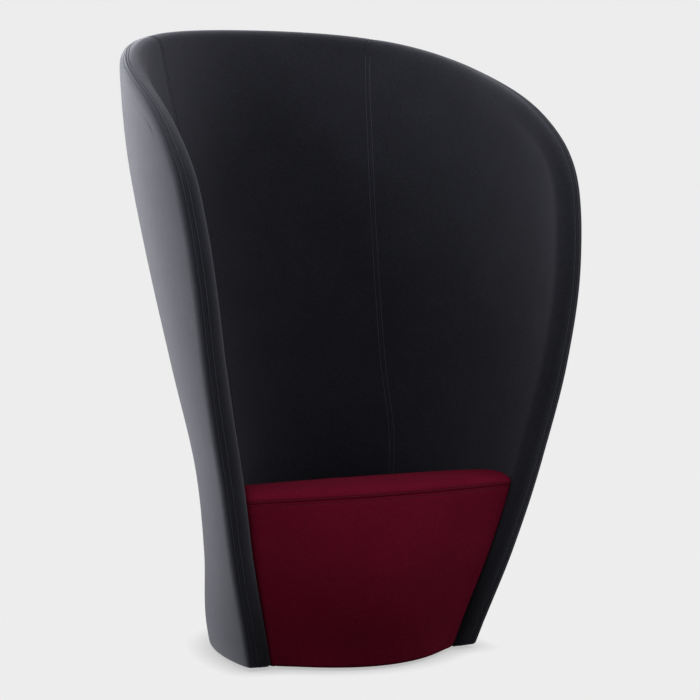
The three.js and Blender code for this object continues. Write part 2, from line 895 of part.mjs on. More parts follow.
function seatBoard() {
  const front = frontStack + frontBoardRoom;
  return loft([
    seatRing(seatBoardBottom, seatClearance, front, boardHeight),
    seatRing(seatBoardTop, seatClearance, front, boardHeight),
  ]);
}

// The base board's outline: under the frame along the wall, and behind the front panel's foam.
function boardRing(height) {
  const depth = outerFoamFar + boardRoom;
  const edge = edgeFrame(edgeShareAtHeight(height));
  const turn = turnAtForward(edge.middle.y + boardRoom, height, depth);
  const frontInset = coverThickness + frontFoamThickness + boardRoom;
  const wall = wallThickness + seatClearance;
  const forward = frontCornerPlace(height);
  const corner = levelPlace(turnAtForward(forward, height, wall), height, wall);
  const bulge = frontBulge(height);
  const ring = [];
  for (let i = 0; i <= wallRingCount; i += 1) {
    ring.push(levelPlace(turn * (1 - (2 * i) / wallRingCount), height, depth));
  }
  for (let i = 0; i <= frontRingCount; i += 1) {
    const across = (2 * i) / frontRingCount - 1;
    const slope = (2 * bulge * across) / corner.x;
    const length = Math.hypot(1, slope);
    const x = corner.x * across - (frontInset * slope) / length;
    const y = forward - bulge * (1 - across * across) + frontInset / length;
    ring.push(new THREE.Vector3(x, y, height));
  }
  return ring;
}

const glidePlaces = glideShares.map(([sideShare, backShare]) => {
  return new THREE.Vector3(sideShare * shellHalfWidth, backShare * shellDepth, 0);
});

function turnedSolid(profile) {
  const points = profile.map(([x, y]) => new THREE.Vector2(x, y));
  return new THREE.LatheGeometry(points, roundSides).rotateX(Math.PI / 2);
}

function glide() {
  const top = floorGap - skinGap;
  const hole = screwRadius + skinGap;
  return turnedSolid([
    [hole, top],
    [hole, glideRecessDepth],
    [glideRecessRadius, glideRecessDepth],
    [glideRecessRadius, 0],
    [glideRadius - glideEdge, 0],
    [glideRadius, glideEdge],
    [glideRadius, top],
    [hole, top],
  ]);
}

function glideScrew() {
  const seat = glideRecessDepth - skinGap;
  return turnedSolid([
    [0, seat - screwHeadHeight],
    [screwHeadRadius, seat - screwHeadHeight],
    [screwHeadRadius, seat],
    [screwRadius, seat],
    [screwRadius, boardBottom + screwBite],
    [0, boardBottom + screwBite],
  ]);
}

// Foot plates: where each upright and rim tube lands, and the way into the chair from there.
function landing(kind) {
  const height = plateTop + skinGap;
  if (kind === "rim") {
    const frame = edgeFrame(edgeShareAtHeight(height));
    const out = frame.out.clone().addScaledVector(frame.past, rimPlateSplay);
    return { at: rimStation(frame).at, out, lip: rimPlateLip };
  }
  let low = 0;
  let high = 1;
  for (let i = 0; i < searchSteps; i += 1) {
    const middle = (low + high) / 2;
    if (uprightColumns[kind](middle).y < height) low = middle;
    else high = middle;
  }
  const place = uprightColumns[kind](low);
  const out = wallNormal(place.x, place.y);
  return { at: levelPlace(place.x, place.y, uprightDepth), out, lip: footPlateLip };
}

const landings = {
  rim: landing("rim"),
  side: landing("side"),
  back: landing("back"),
};

const boltHole = boltRadius + skinGap;

function boltPlace(kind) {
  const { at, out, lip } = landings[kind];
  const inward = new THREE.Vector3(-out.x, -out.y, 0).normalize();
  return at.clone().addScaledVector(inward, footPlateLength - lip - 2 * boltHeadRadius);
}

function footPlate(kind) {
  const { at, out, lip } = landings[kind];
  const plate = new THREE.BoxGeometry(footPlateLength, footPlateWidth, footPlateThickness);
  plate.translate(lip - footPlateLength / 2, 0, 0);
  plate.rotateZ(Math.atan2(out.y, out.x));
  plate.translate(at.x, at.y, (plateBottom + plateTop) / 2);
  return drilled(plate, [boltPlace(kind)], boltHole, plateBottom - cutOverrun, plateTop + cutOverrun);
}

function footBolt(kind) {
  const place = boltPlace(kind);
  const seat = plateTop + skinGap;
  const bolt = turnedSolid([
    [0, plateBottom - boltDepth],
    [boltRadius, plateBottom - boltDepth],
    [boltRadius, seat],
    [boltHeadRadius, seat],
    [boltHeadRadius, seat + boltHeadHeight - skinGap],
    [0, seat + boltHeadHeight - skinGap],
  ]);
  return bolt.translate(place.x, place.y, 0);
}

const landingKinds = ["rim", "side", "back"];

function baseBoard() {
  const board = loft([boardRing(boardBottom), boardRing(boardTop)]);
  const low = boardBottom - cutOverrun;
  const high = boardTop + cutOverrun;
  const withScrewHoles = drilled(board, glidePlaces, screwRadius + skinGap, low, high);
  const right = landingKinds.map(boltPlace);
  const left = right.map((place) => new THREE.Vector3(-place.x, place.y, place.z));
  return drilled(withScrewHoles, [...right, ...left], boltHole, low, high);
}

function dustCover() {
  const low = boardRing(floorGap);
  const high = boardRing(floorGap + dustCoverThickness);
  const hole = screwRadius + skinGap;
  return drilled(loft([low, high]), glidePlaces, hole, floorGap - cutOverrun, boardTop);
}

// The gables stand just inside the wall, which is narrowest at the base board or at the seat board.
const gableFront = shellDepth * gableFrontShare;
const gableBack = shellDepth * gableBackShare;

function gableMiddle() {
  const depth = wallThickness + gableRoom;
  const cornerX = (height, forward) => levelPlace(turnAtForward(forward, height, depth), height, depth).x;
  const corners = [boardTop, seatBoardBottom].flatMap((height) => {
    return [cornerX(height, gableFront), cornerX(height, gableBack)];
  });
  return Math.min(...corners) - gableThickness / 2;
}
const gableSpread = gableMiddle();

const boxFoot = boardTop + skinGap;
const boxTop = (y) => boardHeight(seatBoardBottom - skinGap, y);

function gable() {
  const outline = [
    [gableFront, boxFoot],
    [gableBack, boxFoot],
    [gableBack, boxTop(gableBack)],
    [gableFront, boxTop(gableFront)],
  ];
  const side = (x) => outline.map(([y, z]) => new THREE.Vector3(x, y, z));
  return loft([side(gableSpread - gableThickness / 2), side(gableSpread + gableThickness / 2)]);
}

function rearRail() {
  const high = boxTop(gableBack);
  const width = 2 * gableSpread - gableThickness - 2 * skinGap;
  const board = new THREE.BoxGeometry(width, gableThickness, high - boxFoot);
  return board.translate(0, gableBack - gableThickness / 2, (boxFoot + high) / 2);
}

// The chair, piece by piece
const chair = new THREE.Group();

function add(name, geometry, material) {
  const mesh = new THREE.Mesh(geometry, material);
  mesh.name = name;
  chair.add(mesh);
  return mesh;
}

function addPair(name, geometry, material) {
  add(name + "_right", geometry, material);
  add(name + "_left", mirrored(geometry), material);
}

const coverLayer = (skin) => layer(skin, 0, coverThickness);
const innerBackHem = boardHeight(seatBoardTop, backAt(seatBoardTop) - wallThickness);

function addCovers() {
  addPair("outer_cover", keepAbove(coverLayer(sideSkin(false, true)), floorGap), charcoalWool);
  add("outer_cover_back", keepAbove(coverLayer(backSkin(false, true)), floorGap), charcoalWool);
  addPair("inner_cover", keepAbove(coverLayer(sideSkin(true, true)), innerHem), charcoalWool);
  add("inner_cover_back", keepAbove(coverLayer(backSkin(true, true)), innerBackHem), charcoalWool);
}

function addFoam() {
  const outerLayer = (skin) => layer(skin, outerFoamNear, outerFoamFar);
  const innerLayer = (skin) => layer(skin, outerFoamNear, wallThickness - innerFoamFar);
  addPair("outer_foam", keepAbove(outerLayer(sideSkin(false, false)), floorGap), foam);
  add("outer_foam_back", keepAbove(outerLayer(backSkin(false, false)), floorGap), foam);
  addPair("inner_foam", keepAbove(innerLayer(sideSkin(true, false)), innerHem), foam);
  add("inner_foam_back", keepAbove(innerLayer(backSkin(true, false)), innerBackHem), foam);
  addPair("edge_foam", edgeBead(), foam);
}

function addFrame() {
  add("rim_hoop", rimHoop(), steel);
  add("waist_band", band(waistRow), steel);
  add("shoulder_band", band(shoulderRow), steel);
  addPair("side_upright", upright("side"), steel);
  addPair("back_upright", upright("back"), steel);
  for (const kind of landingKinds) {
    addPair(kind + "_foot_plate", footPlate(kind), steel);
    addPair(kind + "_foot_bolt", footBolt(kind), zinc);
  }
}

function addBase() {
  add("base_board", baseBoard(), birchPly);
  add("dust_cover", dustCover(), blackCloth);
  glidePlaces.forEach((place, i) => {
    add("glide_" + (i + 1), glide(), blackPlastic).position.copy(place);
    add("glide_screw_" + (i + 1), glideScrew(), zinc).position.copy(place);
  });
}

function addSeat() {
  const skin = frontSkin();
  const foamNear = coverThickness + skinGap;
  const boardNear = foamNear + frontFoamThickness + skinGap;
  add("front_cover", keepBetween(layer(skin, 0, coverThickness), floorGap, seamHeight), burgundyWool);
  add("front_foam", keepBetween(layer(skin, foamNear, boardNear - skinGap), floorGap, seamHeight), foam);
  const frontBoard = layer(skin, boardNear, boardNear + frontBoardThickness);
  add("front_board", keepBetween(frontBoard, boardTop + skinGap, seamHeight), birchPly);
  addPair("gable", gable(), birchPly);
  add("rear_rail", rearRail(), birchPly);
  add("seat_board", seatBoard(), birchPly);
  add("seat_foam", seatFoam(), foam);
  add("seat_cover", seatCover(), burgundyWool);
}

addCovers();
addFoam();
addFrame();
addBase();
addSeat();

// The origin lies on the floor, under the middle of the chair's own length and width.
const extent = new THREE.Box3().setFromObject(chair);
chair.position.y = -(extent.min.y + extent.max.y) / 2;

export default chair;
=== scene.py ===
"""The looks of a high-backed lounge chair: a wool tub shell round an upholstered seat block.

Metres, +Z up. The sitter faces -Y and the chair stands on the plane z = 0. Right in a name is +X.
The shell's tables are shares of its sizes, as in the part's own source.
"""

import json
import math

import bpy
import numpy as np
from bpy.props import FloatProperty, FloatVectorProperty, PointerProperty
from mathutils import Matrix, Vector
from mathutils.kdtree import KDTree


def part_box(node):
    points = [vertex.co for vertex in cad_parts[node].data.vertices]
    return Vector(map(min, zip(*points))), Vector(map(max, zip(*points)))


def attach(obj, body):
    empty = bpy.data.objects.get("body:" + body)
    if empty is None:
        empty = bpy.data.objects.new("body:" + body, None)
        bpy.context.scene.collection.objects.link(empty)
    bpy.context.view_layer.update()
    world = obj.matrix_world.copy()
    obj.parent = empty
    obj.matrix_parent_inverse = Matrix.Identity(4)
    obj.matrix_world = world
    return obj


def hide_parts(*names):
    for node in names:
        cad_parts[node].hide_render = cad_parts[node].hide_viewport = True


bl_info = {
    "name": "Acoustic Lounge Chair",
    "version": (1, 0, 0),
    "blender": (4, 5, 0),
    "location": "View3D > Sidebar > Lounge Chair",
    "description": "Upholsters the packed frame of a high-backed acoustic lounge chair",
    "category": "Object",
}

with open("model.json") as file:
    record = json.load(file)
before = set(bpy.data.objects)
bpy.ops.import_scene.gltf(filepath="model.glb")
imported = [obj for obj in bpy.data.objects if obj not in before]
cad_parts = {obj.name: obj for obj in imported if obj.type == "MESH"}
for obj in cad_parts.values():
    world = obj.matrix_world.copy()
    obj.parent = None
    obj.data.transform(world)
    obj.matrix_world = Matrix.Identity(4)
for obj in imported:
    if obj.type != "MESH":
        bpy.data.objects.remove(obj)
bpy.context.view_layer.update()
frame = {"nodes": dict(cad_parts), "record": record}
nodes = frame["nodes"]
BODY = "root"


MM = 0.001

# The shell's plan is an ellipse at every height. Each column of these tables belongs to one height:
# half width, centre and back as shares of the shell's half width and depth.
HEIGHT_SHARES = (-0.035, 0.05, 0.17, 0.31, 0.465, 0.64, 0.79, 0.92, 1)
HALF_WIDTH_SHARES = (0.545, 0.62, 0.71, 0.8, 0.895, 0.97, 1, 0.95, 0.92)
CENTRE_SHARES = (-0.02, -0.02, -0.125, -0.2, -0.19, -0.135, -0.055, 0.09, 0.14)
BACK_SHARES = (0.55, 0.485, 0.395, 0.37, 0.43, 0.525, 0.61, 0.69, 0.73)

# The free edge: height and forward place of the wing's edge, then height and turn of the rim.
WING_EDGE_SHARES = (
    (-0.035, -0.04),
    (0.05, -0.085),
    (0.17, -0.14),
    (0.31, -0.19),
    (0.465, -0.225),
    (0.6, -0.235),
    (0.7, -0.21),
    (0.775, -0.155),
)
RIM_SHARES = ((0.85, 0.505), (0.91, 0.405), (0.955, 0.26), (0.972, 0))

# The seams between the panels: height, and turn as a share of half a circle.
SEAM_SHARES = ((-0.035, 0.215), (0.27, 0.208), (0.43, 0.181), (0.6, 0.177), (0.8, 0.19))
RIM_SEAM_SHARE = 0.17
RIM_CORNER_SHARE = 0.4

# The rolled edge: the angle of its seam, from the outer face, and how square its section is on its outer
# half, on its inner half, and at the hem.
NOSE_SEAM_ANGLE = math.pi * 0.36
OUTER_EXPONENT = 3.0
INNER_EXPONENT = 2.0
HEM_EXPONENT = 3.6

# The seat's crown: how far in from its outline, and how high, as shares of its reach and rise.
CROWN_SHARES = (
    (0, 0),
    (-0.013, 0.13),
    (-0.008, 0.3),
    (0.03, 0.5),
    (0.11, 0.7),
    (0.27, 0.86),
    (0.5, 0.95),
    (1, 1),
)
CROWN_POLE_SHARE = 0.12

# Steps of the cloth's mesh: fine beside a seam or a hem, then growing up to the step of the part. Past the
# fine width, a panel's steps are even.
FINE_STEP = 1.1 * MM
FINE_COUNT = 12
HEM_STEP = 1.5 * MM
HEM_COUNT = 7
STEP_GROWTH = 1.35
PANEL_STEP = 11 * MM
NOSE_STEP = 4 * MM
ROW_STEP = 10 * MM
CROWN_STEP = 6 * MM
FINE_WIDTH = 0.09
SEAM_GAP = 0.12 * MM


def measure(name, description, default):
    """A length that can be changed, in metres."""
    return FloatProperty(name=name, description=description, default=default, unit="LENGTH")


def hue(name, description, default):
    """A colour that can be changed."""
    return FloatVectorProperty(name=name, description=description, default=default, subtype="COLOR")


class ShellSizes(bpy.types.PropertyGroup):
    """Sizes of the upholstered shell."""

    height: measure("Height", "Shell's height from its hem", 1.46)
    half_width: measure("Half width", "Widest half width", 0.515)
    depth: measure("Depth", "Depth that the tables are shares of", 0.87)
    hem: measure("Hem", "Height of the hem over the floor", 0.006)
    wall: measure("Wall", "Thickness of the padded wall", 0.058)
    outer_pad: measure("Outer pad", "Outer cover with its foam", 0.0143)
    inner_pad: measure("Inner pad", "Inner cover with its foam", 0.02)
    inner_hem: measure("Inner hem", "Lower end of the lining", 0.031)
    square_height: measure("Square height", "Height below which the rolled edge is squarer", 0.25)
    puff: measure("Puff", "How proud the padding stands of its seams", 0.0022)


class SeatSizes(bpy.types.PropertyGroup):
    """Sizes of the upholstered seat block."""

    seam_height: measure("Seam height", "Seam under the crown", 0.397)
    crown_rise: measure("Crown rise", "Crown's height over its seam", 0.033)
    crown_reach: measure("Crown reach", "How far in the crown curves", 0.105)
    crown_gap: measure("Crown gap", "Gap under the crown", 0.0007)
    board_top: measure("Board top", "Top of the seat board", 0.309)
    rake: FloatProperty(name="Rake", description="Slope of the seat to its back", default=0.14, min=0, max=1)
    settle: FloatProperty(name="Settle", description="Crown's further slope", default=0.014, min=0, max=1)
    rake_setback: measure("Rake setback", "Where the slope starts", 0.054)
    clearance: measure("Clearance", "Gap to the shell's lining", 0.0025)
    pad: measure("Front pad", "Front cover with its foam", 0.0203)
    bulge_at_floor: measure("Low bulge", "Front's bulge at the floor", 0.118)
    bulge_at_seam: measure("High bulge", "Front's bulge at the seam", 0.035)
    lead_at_floor: measure("Low lead", "Lead over the wing at the floor", 0.016)
    lead_at_seam: measure("High lead", "Lead over the wing at the seam", 0.005)
    side_reach: measure("Side reach", "How far in the sides curve", 0.045)
    corner: measure("Corner", "Softness of the block's corners", 0.01)
    corner_puff: measure("Corner puff", "How far the corners bulge", 0.007)
    wrap: measure("Wrap", "Front panel's return along the sides", 0.045)
    swell: measure("Swell", "Most that the padding swells", 0.002)
    dip: measure("Dip", "How far the seam draws the cloth in", 0.0013)


class BaseSizes(bpy.types.PropertyGroup):
    """Sizes of what closes the chair from below."""

    room: measure("Room", "From the cloth's edge to the padding", 0.013)
    cloth: measure("Cloth", "Thickness of the dust cloth", 0.0006)
    ripple: measure("Ripple", "How the cloth rises between staples", 0.0003)
    staple_inset: measure("Staple inset", "From the edge", 0.009)
    staple_pitch: measure("Staple pitch", "Staple to staple", 0.038)
    staple_length: measure("Staple", "Length of a staple", 0.01)
    staple_wire: measure("Staple wire", "Thickness", 0.0008)
    glide_edge: measure("Glide edge", "Rounding of a glide", 0.0015)
    glide_recess: measure("Glide recess", "Radius round the screw", 0.006)


class SewingSizes(bpy.types.PropertyGroup):
    """Sizes of the seams and their stitches."""

    groove: measure("Groove", "Depth of a seam", 0.001)
    roll: measure("Roll", "Radius of the cloth's edge at a seam", 0.0024)
    margin: measure("Margin", "From a seam to its stitches", 0.0058)
    hem_roll: measure("Hem roll", "Radius of the cloth over a hem", 0.009)
    inner_seam_share: FloatProperty(
        name="Inner seams", description="Their depth as a share of an outer seam's", default=0.35, min=0
    )
    dimple: measure("Dimple", "How deep the stitches pull", 0.0009)
    pitch: measure("Pitch", "From stitch to stitch", 0.0052)
    length: measure("Length", "Length of a stitch", 0.0042)
    thread: measure("Thread", "Thickness of the thread", 0.001)


class Finishes(bpy.types.PropertyGroup):
    """Colours of the chair's materials."""

    charcoal: hue("Charcoal wool", "Cloth of the shell", (0.0215, 0.0222, 0.0285))
    burgundy: hue("Burgundy wool", "Cloth of the seat block", (0.185, 0.0063, 0.0255))
    foam: hue("Foam", "Cut foam inside", (0.72, 0.65, 0.42))
    ply: hue("Plywood", "Birch face", (0.62, 0.45, 0.27))
    coat: hue("Powder coat", "Frame", (0.035, 0.036, 0.04))
    zinc: hue("Zinc", "Fasteners", (0.62, 0.64, 0.66))
    dust_cloth: hue("Dust cloth", "Cloth under the base", (0.012, 0.012, 0.013))
    glide: hue("Glide", "Moulded glides", (0.022, 0.022, 0.023))


class StageSizes(bpy.types.PropertyGroup):
    """Camera and light of the studio."""

    azimuth: FloatProperty(
        name="Azimuth", description="Camera's turn", default=math.radians(-27), subtype="ANGLE"
    )
    pitch: FloatProperty(
        name="Pitch", description="Camera's tilt down", default=math.radians(5.3817), subtype="ANGLE"
    )
    distance: measure("Distance", "Level distance", 5.86359)
    camera_height: measure("Camera height", "Over the floor", 1.26497)
    lens: FloatProperty(name="Lens", description="Focal length in millimetres", default=131.021, min=1)
    floor_size: measure("Floor", "Side of the floor", 60)
    flag_width: measure("Flag width", "Black card's width", 2.0)
    flag_height: measure("Flag height", "Black card's height", 0.27)
    flag_foot: measure("Flag foot", "Black card's foot over the floor", 0.065)
    flag_distance: measure("Flag distance", "Card in front", 0.4)
    paper: FloatProperty(name="Paper", description="Background's brightness", default=0.845, min=0, max=1)


class LoungeChairSettings(bpy.types.PropertyGroup):
    """All settings of the chair."""

    shell: PointerProperty(type=ShellSizes)
    seat: PointerProperty(type=SeatSizes)
    base: PointerProperty(type=BaseSizes)
    sewing: PointerProperty(type=SewingSizes)
    finishes: PointerProperty(type=Finishes)
    stage: PointerProperty(type=StageSizes)


def settings_of(context):
    return context.scene.lounge_chair


# Curves and patches, as arrays

# A search halves its range this many times. Lengths under the second value count as nothing.
SEARCH_STEPS = 40
NEARLY_ZERO = 1e-12


def mix(a, b, share):
    return a + (b - a) * share


def halved(low, high, is_low):
    """The two ends between which a test stops holding, by halving. Arrays are searched all at once."""
    for _ in range(SEARCH_STEPS):
        middle = (low + high) / 2
        below = is_low(middle)
        low, high = np.where(below, middle, low), np.where(below, high, middle)
    return low, high


def smoothstep(x):
    x = np.clip(x, 0, 1)
    return x * x * (3 - 2 * x)


def unit(vectors):
    return vectors / np.maximum(np.linalg.norm(vectors, axis=-1, keepdims=True), NEARLY_ZERO)


def path_lengths(points):
    """Length of a path of points up to each of them, along the first axis."""
    steps = np.linalg.norm(np.diff(points, axis=0), axis=-1)
    return np.concatenate([np.zeros((1,) + steps.shape[1:]), np.cumsum(steps, axis=0)])


class EvenCurve:
    """A centripetal curve through points, read at shares of its length."""

    SAMPLES = 400

    def __init__(self, points):
        knots = [np.array(p, float) for p in points]
        ends = [2 * knots[0] - knots[1], *knots, 2 * knots[-1] - knots[-2]]
        runs = [self.run(*ends[i : i + 4]) for i in range(len(knots) - 1)]
        self.points = np.vstack([*runs, knots[-1][None]])
        lengths = path_lengths(self.points)
        self.length = lengths[-1]
        self.shares = lengths / self.length

    def run(self, before, start, end, after):
        first, middle, last = (
            np.linalg.norm(b - a) ** 0.5 for a, b in ((before, start), (start, end), (end, after))
        )
        leave = ((start - before) / first - (end - before) / (first + middle)) * middle + (end - start)
        reach = ((after - end) / last - (after - start) / (middle + last)) * middle + (end - start)
        t = np.linspace(0, 1, self.SAMPLES, endpoint=False)[:, None]
        bend = -3 * start + 3 * end - 2 * leave - reach
        return start + leave * t + bend * t**2 + (2 * start - 2 * end + leave + reach) * t**3

    def at(self, share):
        return np.stack([np.interp(share, self.shares, self.points[:, k]) for k in (0, 1)], -1)


class Wall:
    """The shell's padded wall. A place on it is a turn from the middle of the back, and a height."""

    SLOPE_STEP = 0.5 * MM

    def __init__(self, sizes):
        self.sizes = sizes
        low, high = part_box("glide_1")
        self.origin_y = (low.y + high.y) / 2
        self.knots = np.array(HEIGHT_SHARES)
        self.edge_curve = EvenCurve(self.edge_points())
        rim_seam = self.edge_place(RIM_SEAM_SHARE)
        seam = [(turn * math.pi * sizes.half_width, self.height_of(share)) for share, turn in SEAM_SHARES]
        self.seam_curve = EvenCurve([*seam, (rim_seam[0] * sizes.half_width, rim_seam[1])])
        self.foot_height = self.height_of(HEIGHT_SHARES[0])

    def height_of(self, share):
        return self.sizes.hem + share * self.sizes.height

    def table(self, shares, height):
        """A smooth curve through a table of shares at the heights above."""
        values = np.array(shares)
        knots = self.knots
        last = len(knots) - 1
        before = np.maximum(np.arange(last + 1) - 1, 0)
        after = np.minimum(np.arange(last + 1) + 1, last)
        slopes = (values[after] - values[before]) / (knots[after] - knots[before])
        share = (np.asarray(height) - self.sizes.hem) / self.sizes.height
        i = np.clip(np.searchsorted(knots, share) - 1, 0, last - 1)
        span = knots[i + 1] - knots[i]
        t = (share - knots[i]) / span
        ends = (2 * t**3 - 3 * t**2 + 1) * values[i] + (3 * t**2 - 2 * t**3) * values[i + 1]
        return ends + span * ((t**3 - 2 * t**2 + t) * slopes[i] + (t**3 - t**2) * slopes[i + 1])

    def point(self, turn, height):
        """The outer face."""
        half_width = self.sizes.half_width * self.table(HALF_WIDTH_SHARES, height)
        centre = self.sizes.depth * self.table(CENTRE_SHARES, height)
        back = self.sizes.depth * self.table(BACK_SHARES, height)
        x = half_width * np.sin(turn)
        y = self.origin_y + centre + (back - centre) * np.cos(turn)
        return np.stack([x, y, np.broadcast_to(height, x.shape)], -1)

    def normal(self, turn, height):
        step = self.SLOPE_STEP
        slope_turn = step / self.sizes.half_width
        along = self.point(turn + slope_turn, height) - self.point(turn - slope_turn, height)
        up = self.point(turn, height + step) - self.point(turn, height - step)
        return unit(np.cross(up, along))

    def edge_points(self):
        """The free edge's knots, from the left foot over the head to the right foot."""
        half_width = self.sizes.half_width
        half = []
        for height_share, forward in WING_EDGE_SHARES:
            height = self.height_of(height_share)
            centre, back = self.table(CENTRE_SHARES, height), self.table(BACK_SHARES, height)
            half.append((math.acos((forward - centre) / (back - centre)) * half_width, height))
        half += [(turn * math.pi * half_width, self.height_of(share)) for share, turn in RIM_SHARES]
        return [(-x, z) for x, z in half[:-1]] + half[::-1]

    def edge_place(self, share):
        p = self.edge_curve.at(np.clip((1 + np.asarray(share)) / 2, 0, 1))
        return p / (self.sizes.half_width, 1)

    def edge_frame(self, share):
        """On the free edge: its roll's middle, the ways out of the face and past the edge, and heights."""
        step = self.SLOPE_STEP / self.sizes.height
        place = self.edge_place(share)
        before, after = self.edge_place(share - step), self.edge_place(share + step)
        tangent = unit(self.point(*after.T) - self.point(*before.T))
        out = self.normal(*place.T)
        past = unit(np.cross(tangent, out))
        return self.point(*place.T) - out * self.sizes.wall / 2, out, past, place[:, 1]

    def nose(self, share, angle, sink=0.0):
        """A point on the rolled edge, and its way out. Shares and angles are flat arrays of one length."""
        middle, out, past, height = self.edge_frame(share)
        low = np.clip(1 - (height - self.sizes.hem) / self.sizes.square_height, 0, 1)
        exponent = mix(np.where(angle < math.pi / 2, OUTER_EXPONENT, INNER_EXPONENT), HEM_EXPONENT, low)
        sum_of_powers = np.abs(np.cos(angle)) ** exponent + np.abs(np.sin(angle)) ** exponent
        radius = self.sizes.wall / 2 * sum_of_powers ** (-1 / exponent) - sink
        way = out * np.cos(angle)[:, None] + past * np.sin(angle)[:, None]
        return middle + way * radius[:, None], way

    def blend_patch(self, low, high, left, right, column, row):
        """A patch of the wall between four border curves, blended between them."""
        c, r = column[..., None], row[..., None]
        place = low(column) * (1 - r) + high(column) * r + left(row) * (1 - c) + right(row) * c
        zero, one = np.zeros(1), np.ones(1)
        corners = low(zero) * (1 - c) * (1 - r) + low(one) * c * (1 - r)
        return place - corners - high(zero) * (1 - c) * r - high(one) * c * r

    def seam_place(self, row):
        return self.seam_curve.at(row) / (self.sizes.half_width, 1)

    def foot_line(self, start, end):
        return lambda c: np.stack([mix(start, end, c), np.full(np.shape(c), self.foot_height)], -1)

    def side_place(self, column, row):
        """Right side panel: columns from the seam to the wing's edge, and rows from the foot to the rim."""
        return self.blend_patch(
            self.foot_line(self.seam_place(0.0)[0], self.edge_place(1.0)[0]),
            lambda c: self.edge_place(mix(RIM_SEAM_SHARE, RIM_CORNER_SHARE, c)),
            self.seam_place,
            lambda r: self.edge_place(mix(1, RIM_CORNER_SHARE, r)),
            column,
            row,
        )

    def back_place(self, column, row):
        """Right half of the back panel: columns from the middle line to the seam."""
        top = self.edge_place(0.0)[1]
        return self.blend_patch(
            self.foot_line(0, self.seam_place(0.0)[0]),
            lambda c: self.edge_place(mix(0, RIM_SEAM_SHARE, c)),
            lambda r: np.stack([np.zeros_like(r), mix(self.foot_height, top, r)], -1),
            self.seam_place,
            column,
            row,
        )

    def face(self, place, inside):
        """The wall's outer or inner face at places, and its way out."""
        turn, height = place[..., 0], place[..., 1]
        normal = self.normal(turn, height)
        if not inside:
            return self.point(turn, height), normal
        return self.point(turn, height) - normal * self.sizes.wall, -normal


# Meshes


def add_object(name, data):
    """A new object in the scene."""
    made = bpy.data.objects.new(name, data)
    bpy.context.scene.collection.objects.link(made)
    return made


def smooth_faces(mesh):
    mesh.polygons.foreach_set("use_smooth", [True] * len(mesh.polygons))


def make_mesh(name, points, faces, uv=None):
    """A new object of a mesh, with one UV pair for each of its points."""
    mesh = bpy.data.meshes.new(name)
    mesh.from_pydata([tuple(p) for p in points], [], faces)
    if uv is not None:
        layer = mesh.uv_layers.new(name="cloth")
        loops = np.zeros(len(mesh.loops), np.int32)
        mesh.loops.foreach_get("vertex_index", loops)
        layer.data.foreach_set("uv", np.asarray(uv)[loops].astype(np.float32).ravel())
    smooth_faces(mesh)
    mesh.update()
    return add_object(name, mesh)


def dress(piece, material, replaced=()):
    """Gives a finished piece its material, parents it to the body, and hides the frame parts that it
    replaces.
    """
    piece.data.materials.clear()
    piece.data.materials.append(material)
    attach(piece, BODY)
    if replaced:
        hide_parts(*replaced)


def grid_faces(rows, columns, first=0, closed=False):
    """Quads over a grid of points that was stored row by row."""
    faces = []
    for j in range(rows - 1):
        for i in range(columns if closed else columns - 1):
            a = first + j * columns + i
            b = first + j * columns + (i + 1) % columns
            faces.append((a, b, b + columns, a + columns))
    return faces


def closed_layer(proud, sunk, faces):
    """A sheet made a closed pad: the proud sheet, its sunk copy, and walls along its border."""
    count = len(proud)
    border = {}
    for face in faces:
        for a, b in zip(face, face[1:] + face[:1]):
            if (b, a) in border:
                del border[(b, a)]
            else:
                border[(a, b)] = True
    below = [tuple(i + count for i in reversed(face)) for face in faces]
    walls = [(b, a, a + count, b + count) for a, b in border]
    points = np.vstack([proud, sunk])
    return points, facing_out(points, [*faces, *below, *walls])


def facing_out(points, faces):
    """The faces, turned round if together they enclose a negative volume."""
    corners = np.array([(f[0], f[k], f[k + 1]) for f in faces for k in range(1, len(f) - 1)])
    first, second, third = (points[corners[:, k]] for k in range(3))
    volume = np.einsum("ij,ij->i", first, np.cross(second, third)).sum()
    return faces if volume > 0 else [tuple(reversed(face)) for face in faces]


def mirrored(points):
    return points * (-1, 1, 1)


class Sewing:
    """How padded cloth dips at a seam and at the stitches beside it."""

    PUFF_REACH = 0.03
    DIP_REACH = 0.008
    PULL_SHARE = 0.25

    def __init__(self, sizes, puff, dip=0.0, seam_share=1.0):
        self.sizes = sizes
        self.puff = puff
        self.dip = dip
        self.seam_share = seam_share

    def valley(self, distance):
        share = np.clip(1 - distance / self.sizes.roll, 0, 1)
        return 1 - np.sqrt(1 - share * share)

    def pull(self, distance):
        """How much of the stitches' dimple is left at a distance from the seam."""
        return np.exp(-(((distance - self.sizes.margin) / (self.PULL_SHARE * self.sizes.margin)) ** 2))

    def hem(self, distance):
        """How far the cloth turns in near a hem."""
        share = np.clip(1 - distance / self.sizes.hem_roll, 0, 1)
        return self.sizes.hem_roll * (np.sqrt(1 - share * share) - 1)

    def rise(self, *distances):
        """Height of the cloth over its bare surface, from its distances to the seams near it. The first seam
        can be flatter than the others."""
        flatter = self.seam_share * self.valley(distances[0])
        valley = np.maximum.reduce([flatter, *(self.valley(d) for d in distances[1:])])
        pull = np.maximum.reduce([self.pull(d) for d in distances])
        puff = np.prod([1 - np.exp(-d / self.PUFF_REACH) for d in distances], axis=0)
        dip = np.maximum.reduce([np.exp(-((d / self.DIP_REACH) ** 2)) for d in distances])
        return self.puff * puff - self.dip * dip - self.sizes.groove * valley - self.sizes.dimple * pull


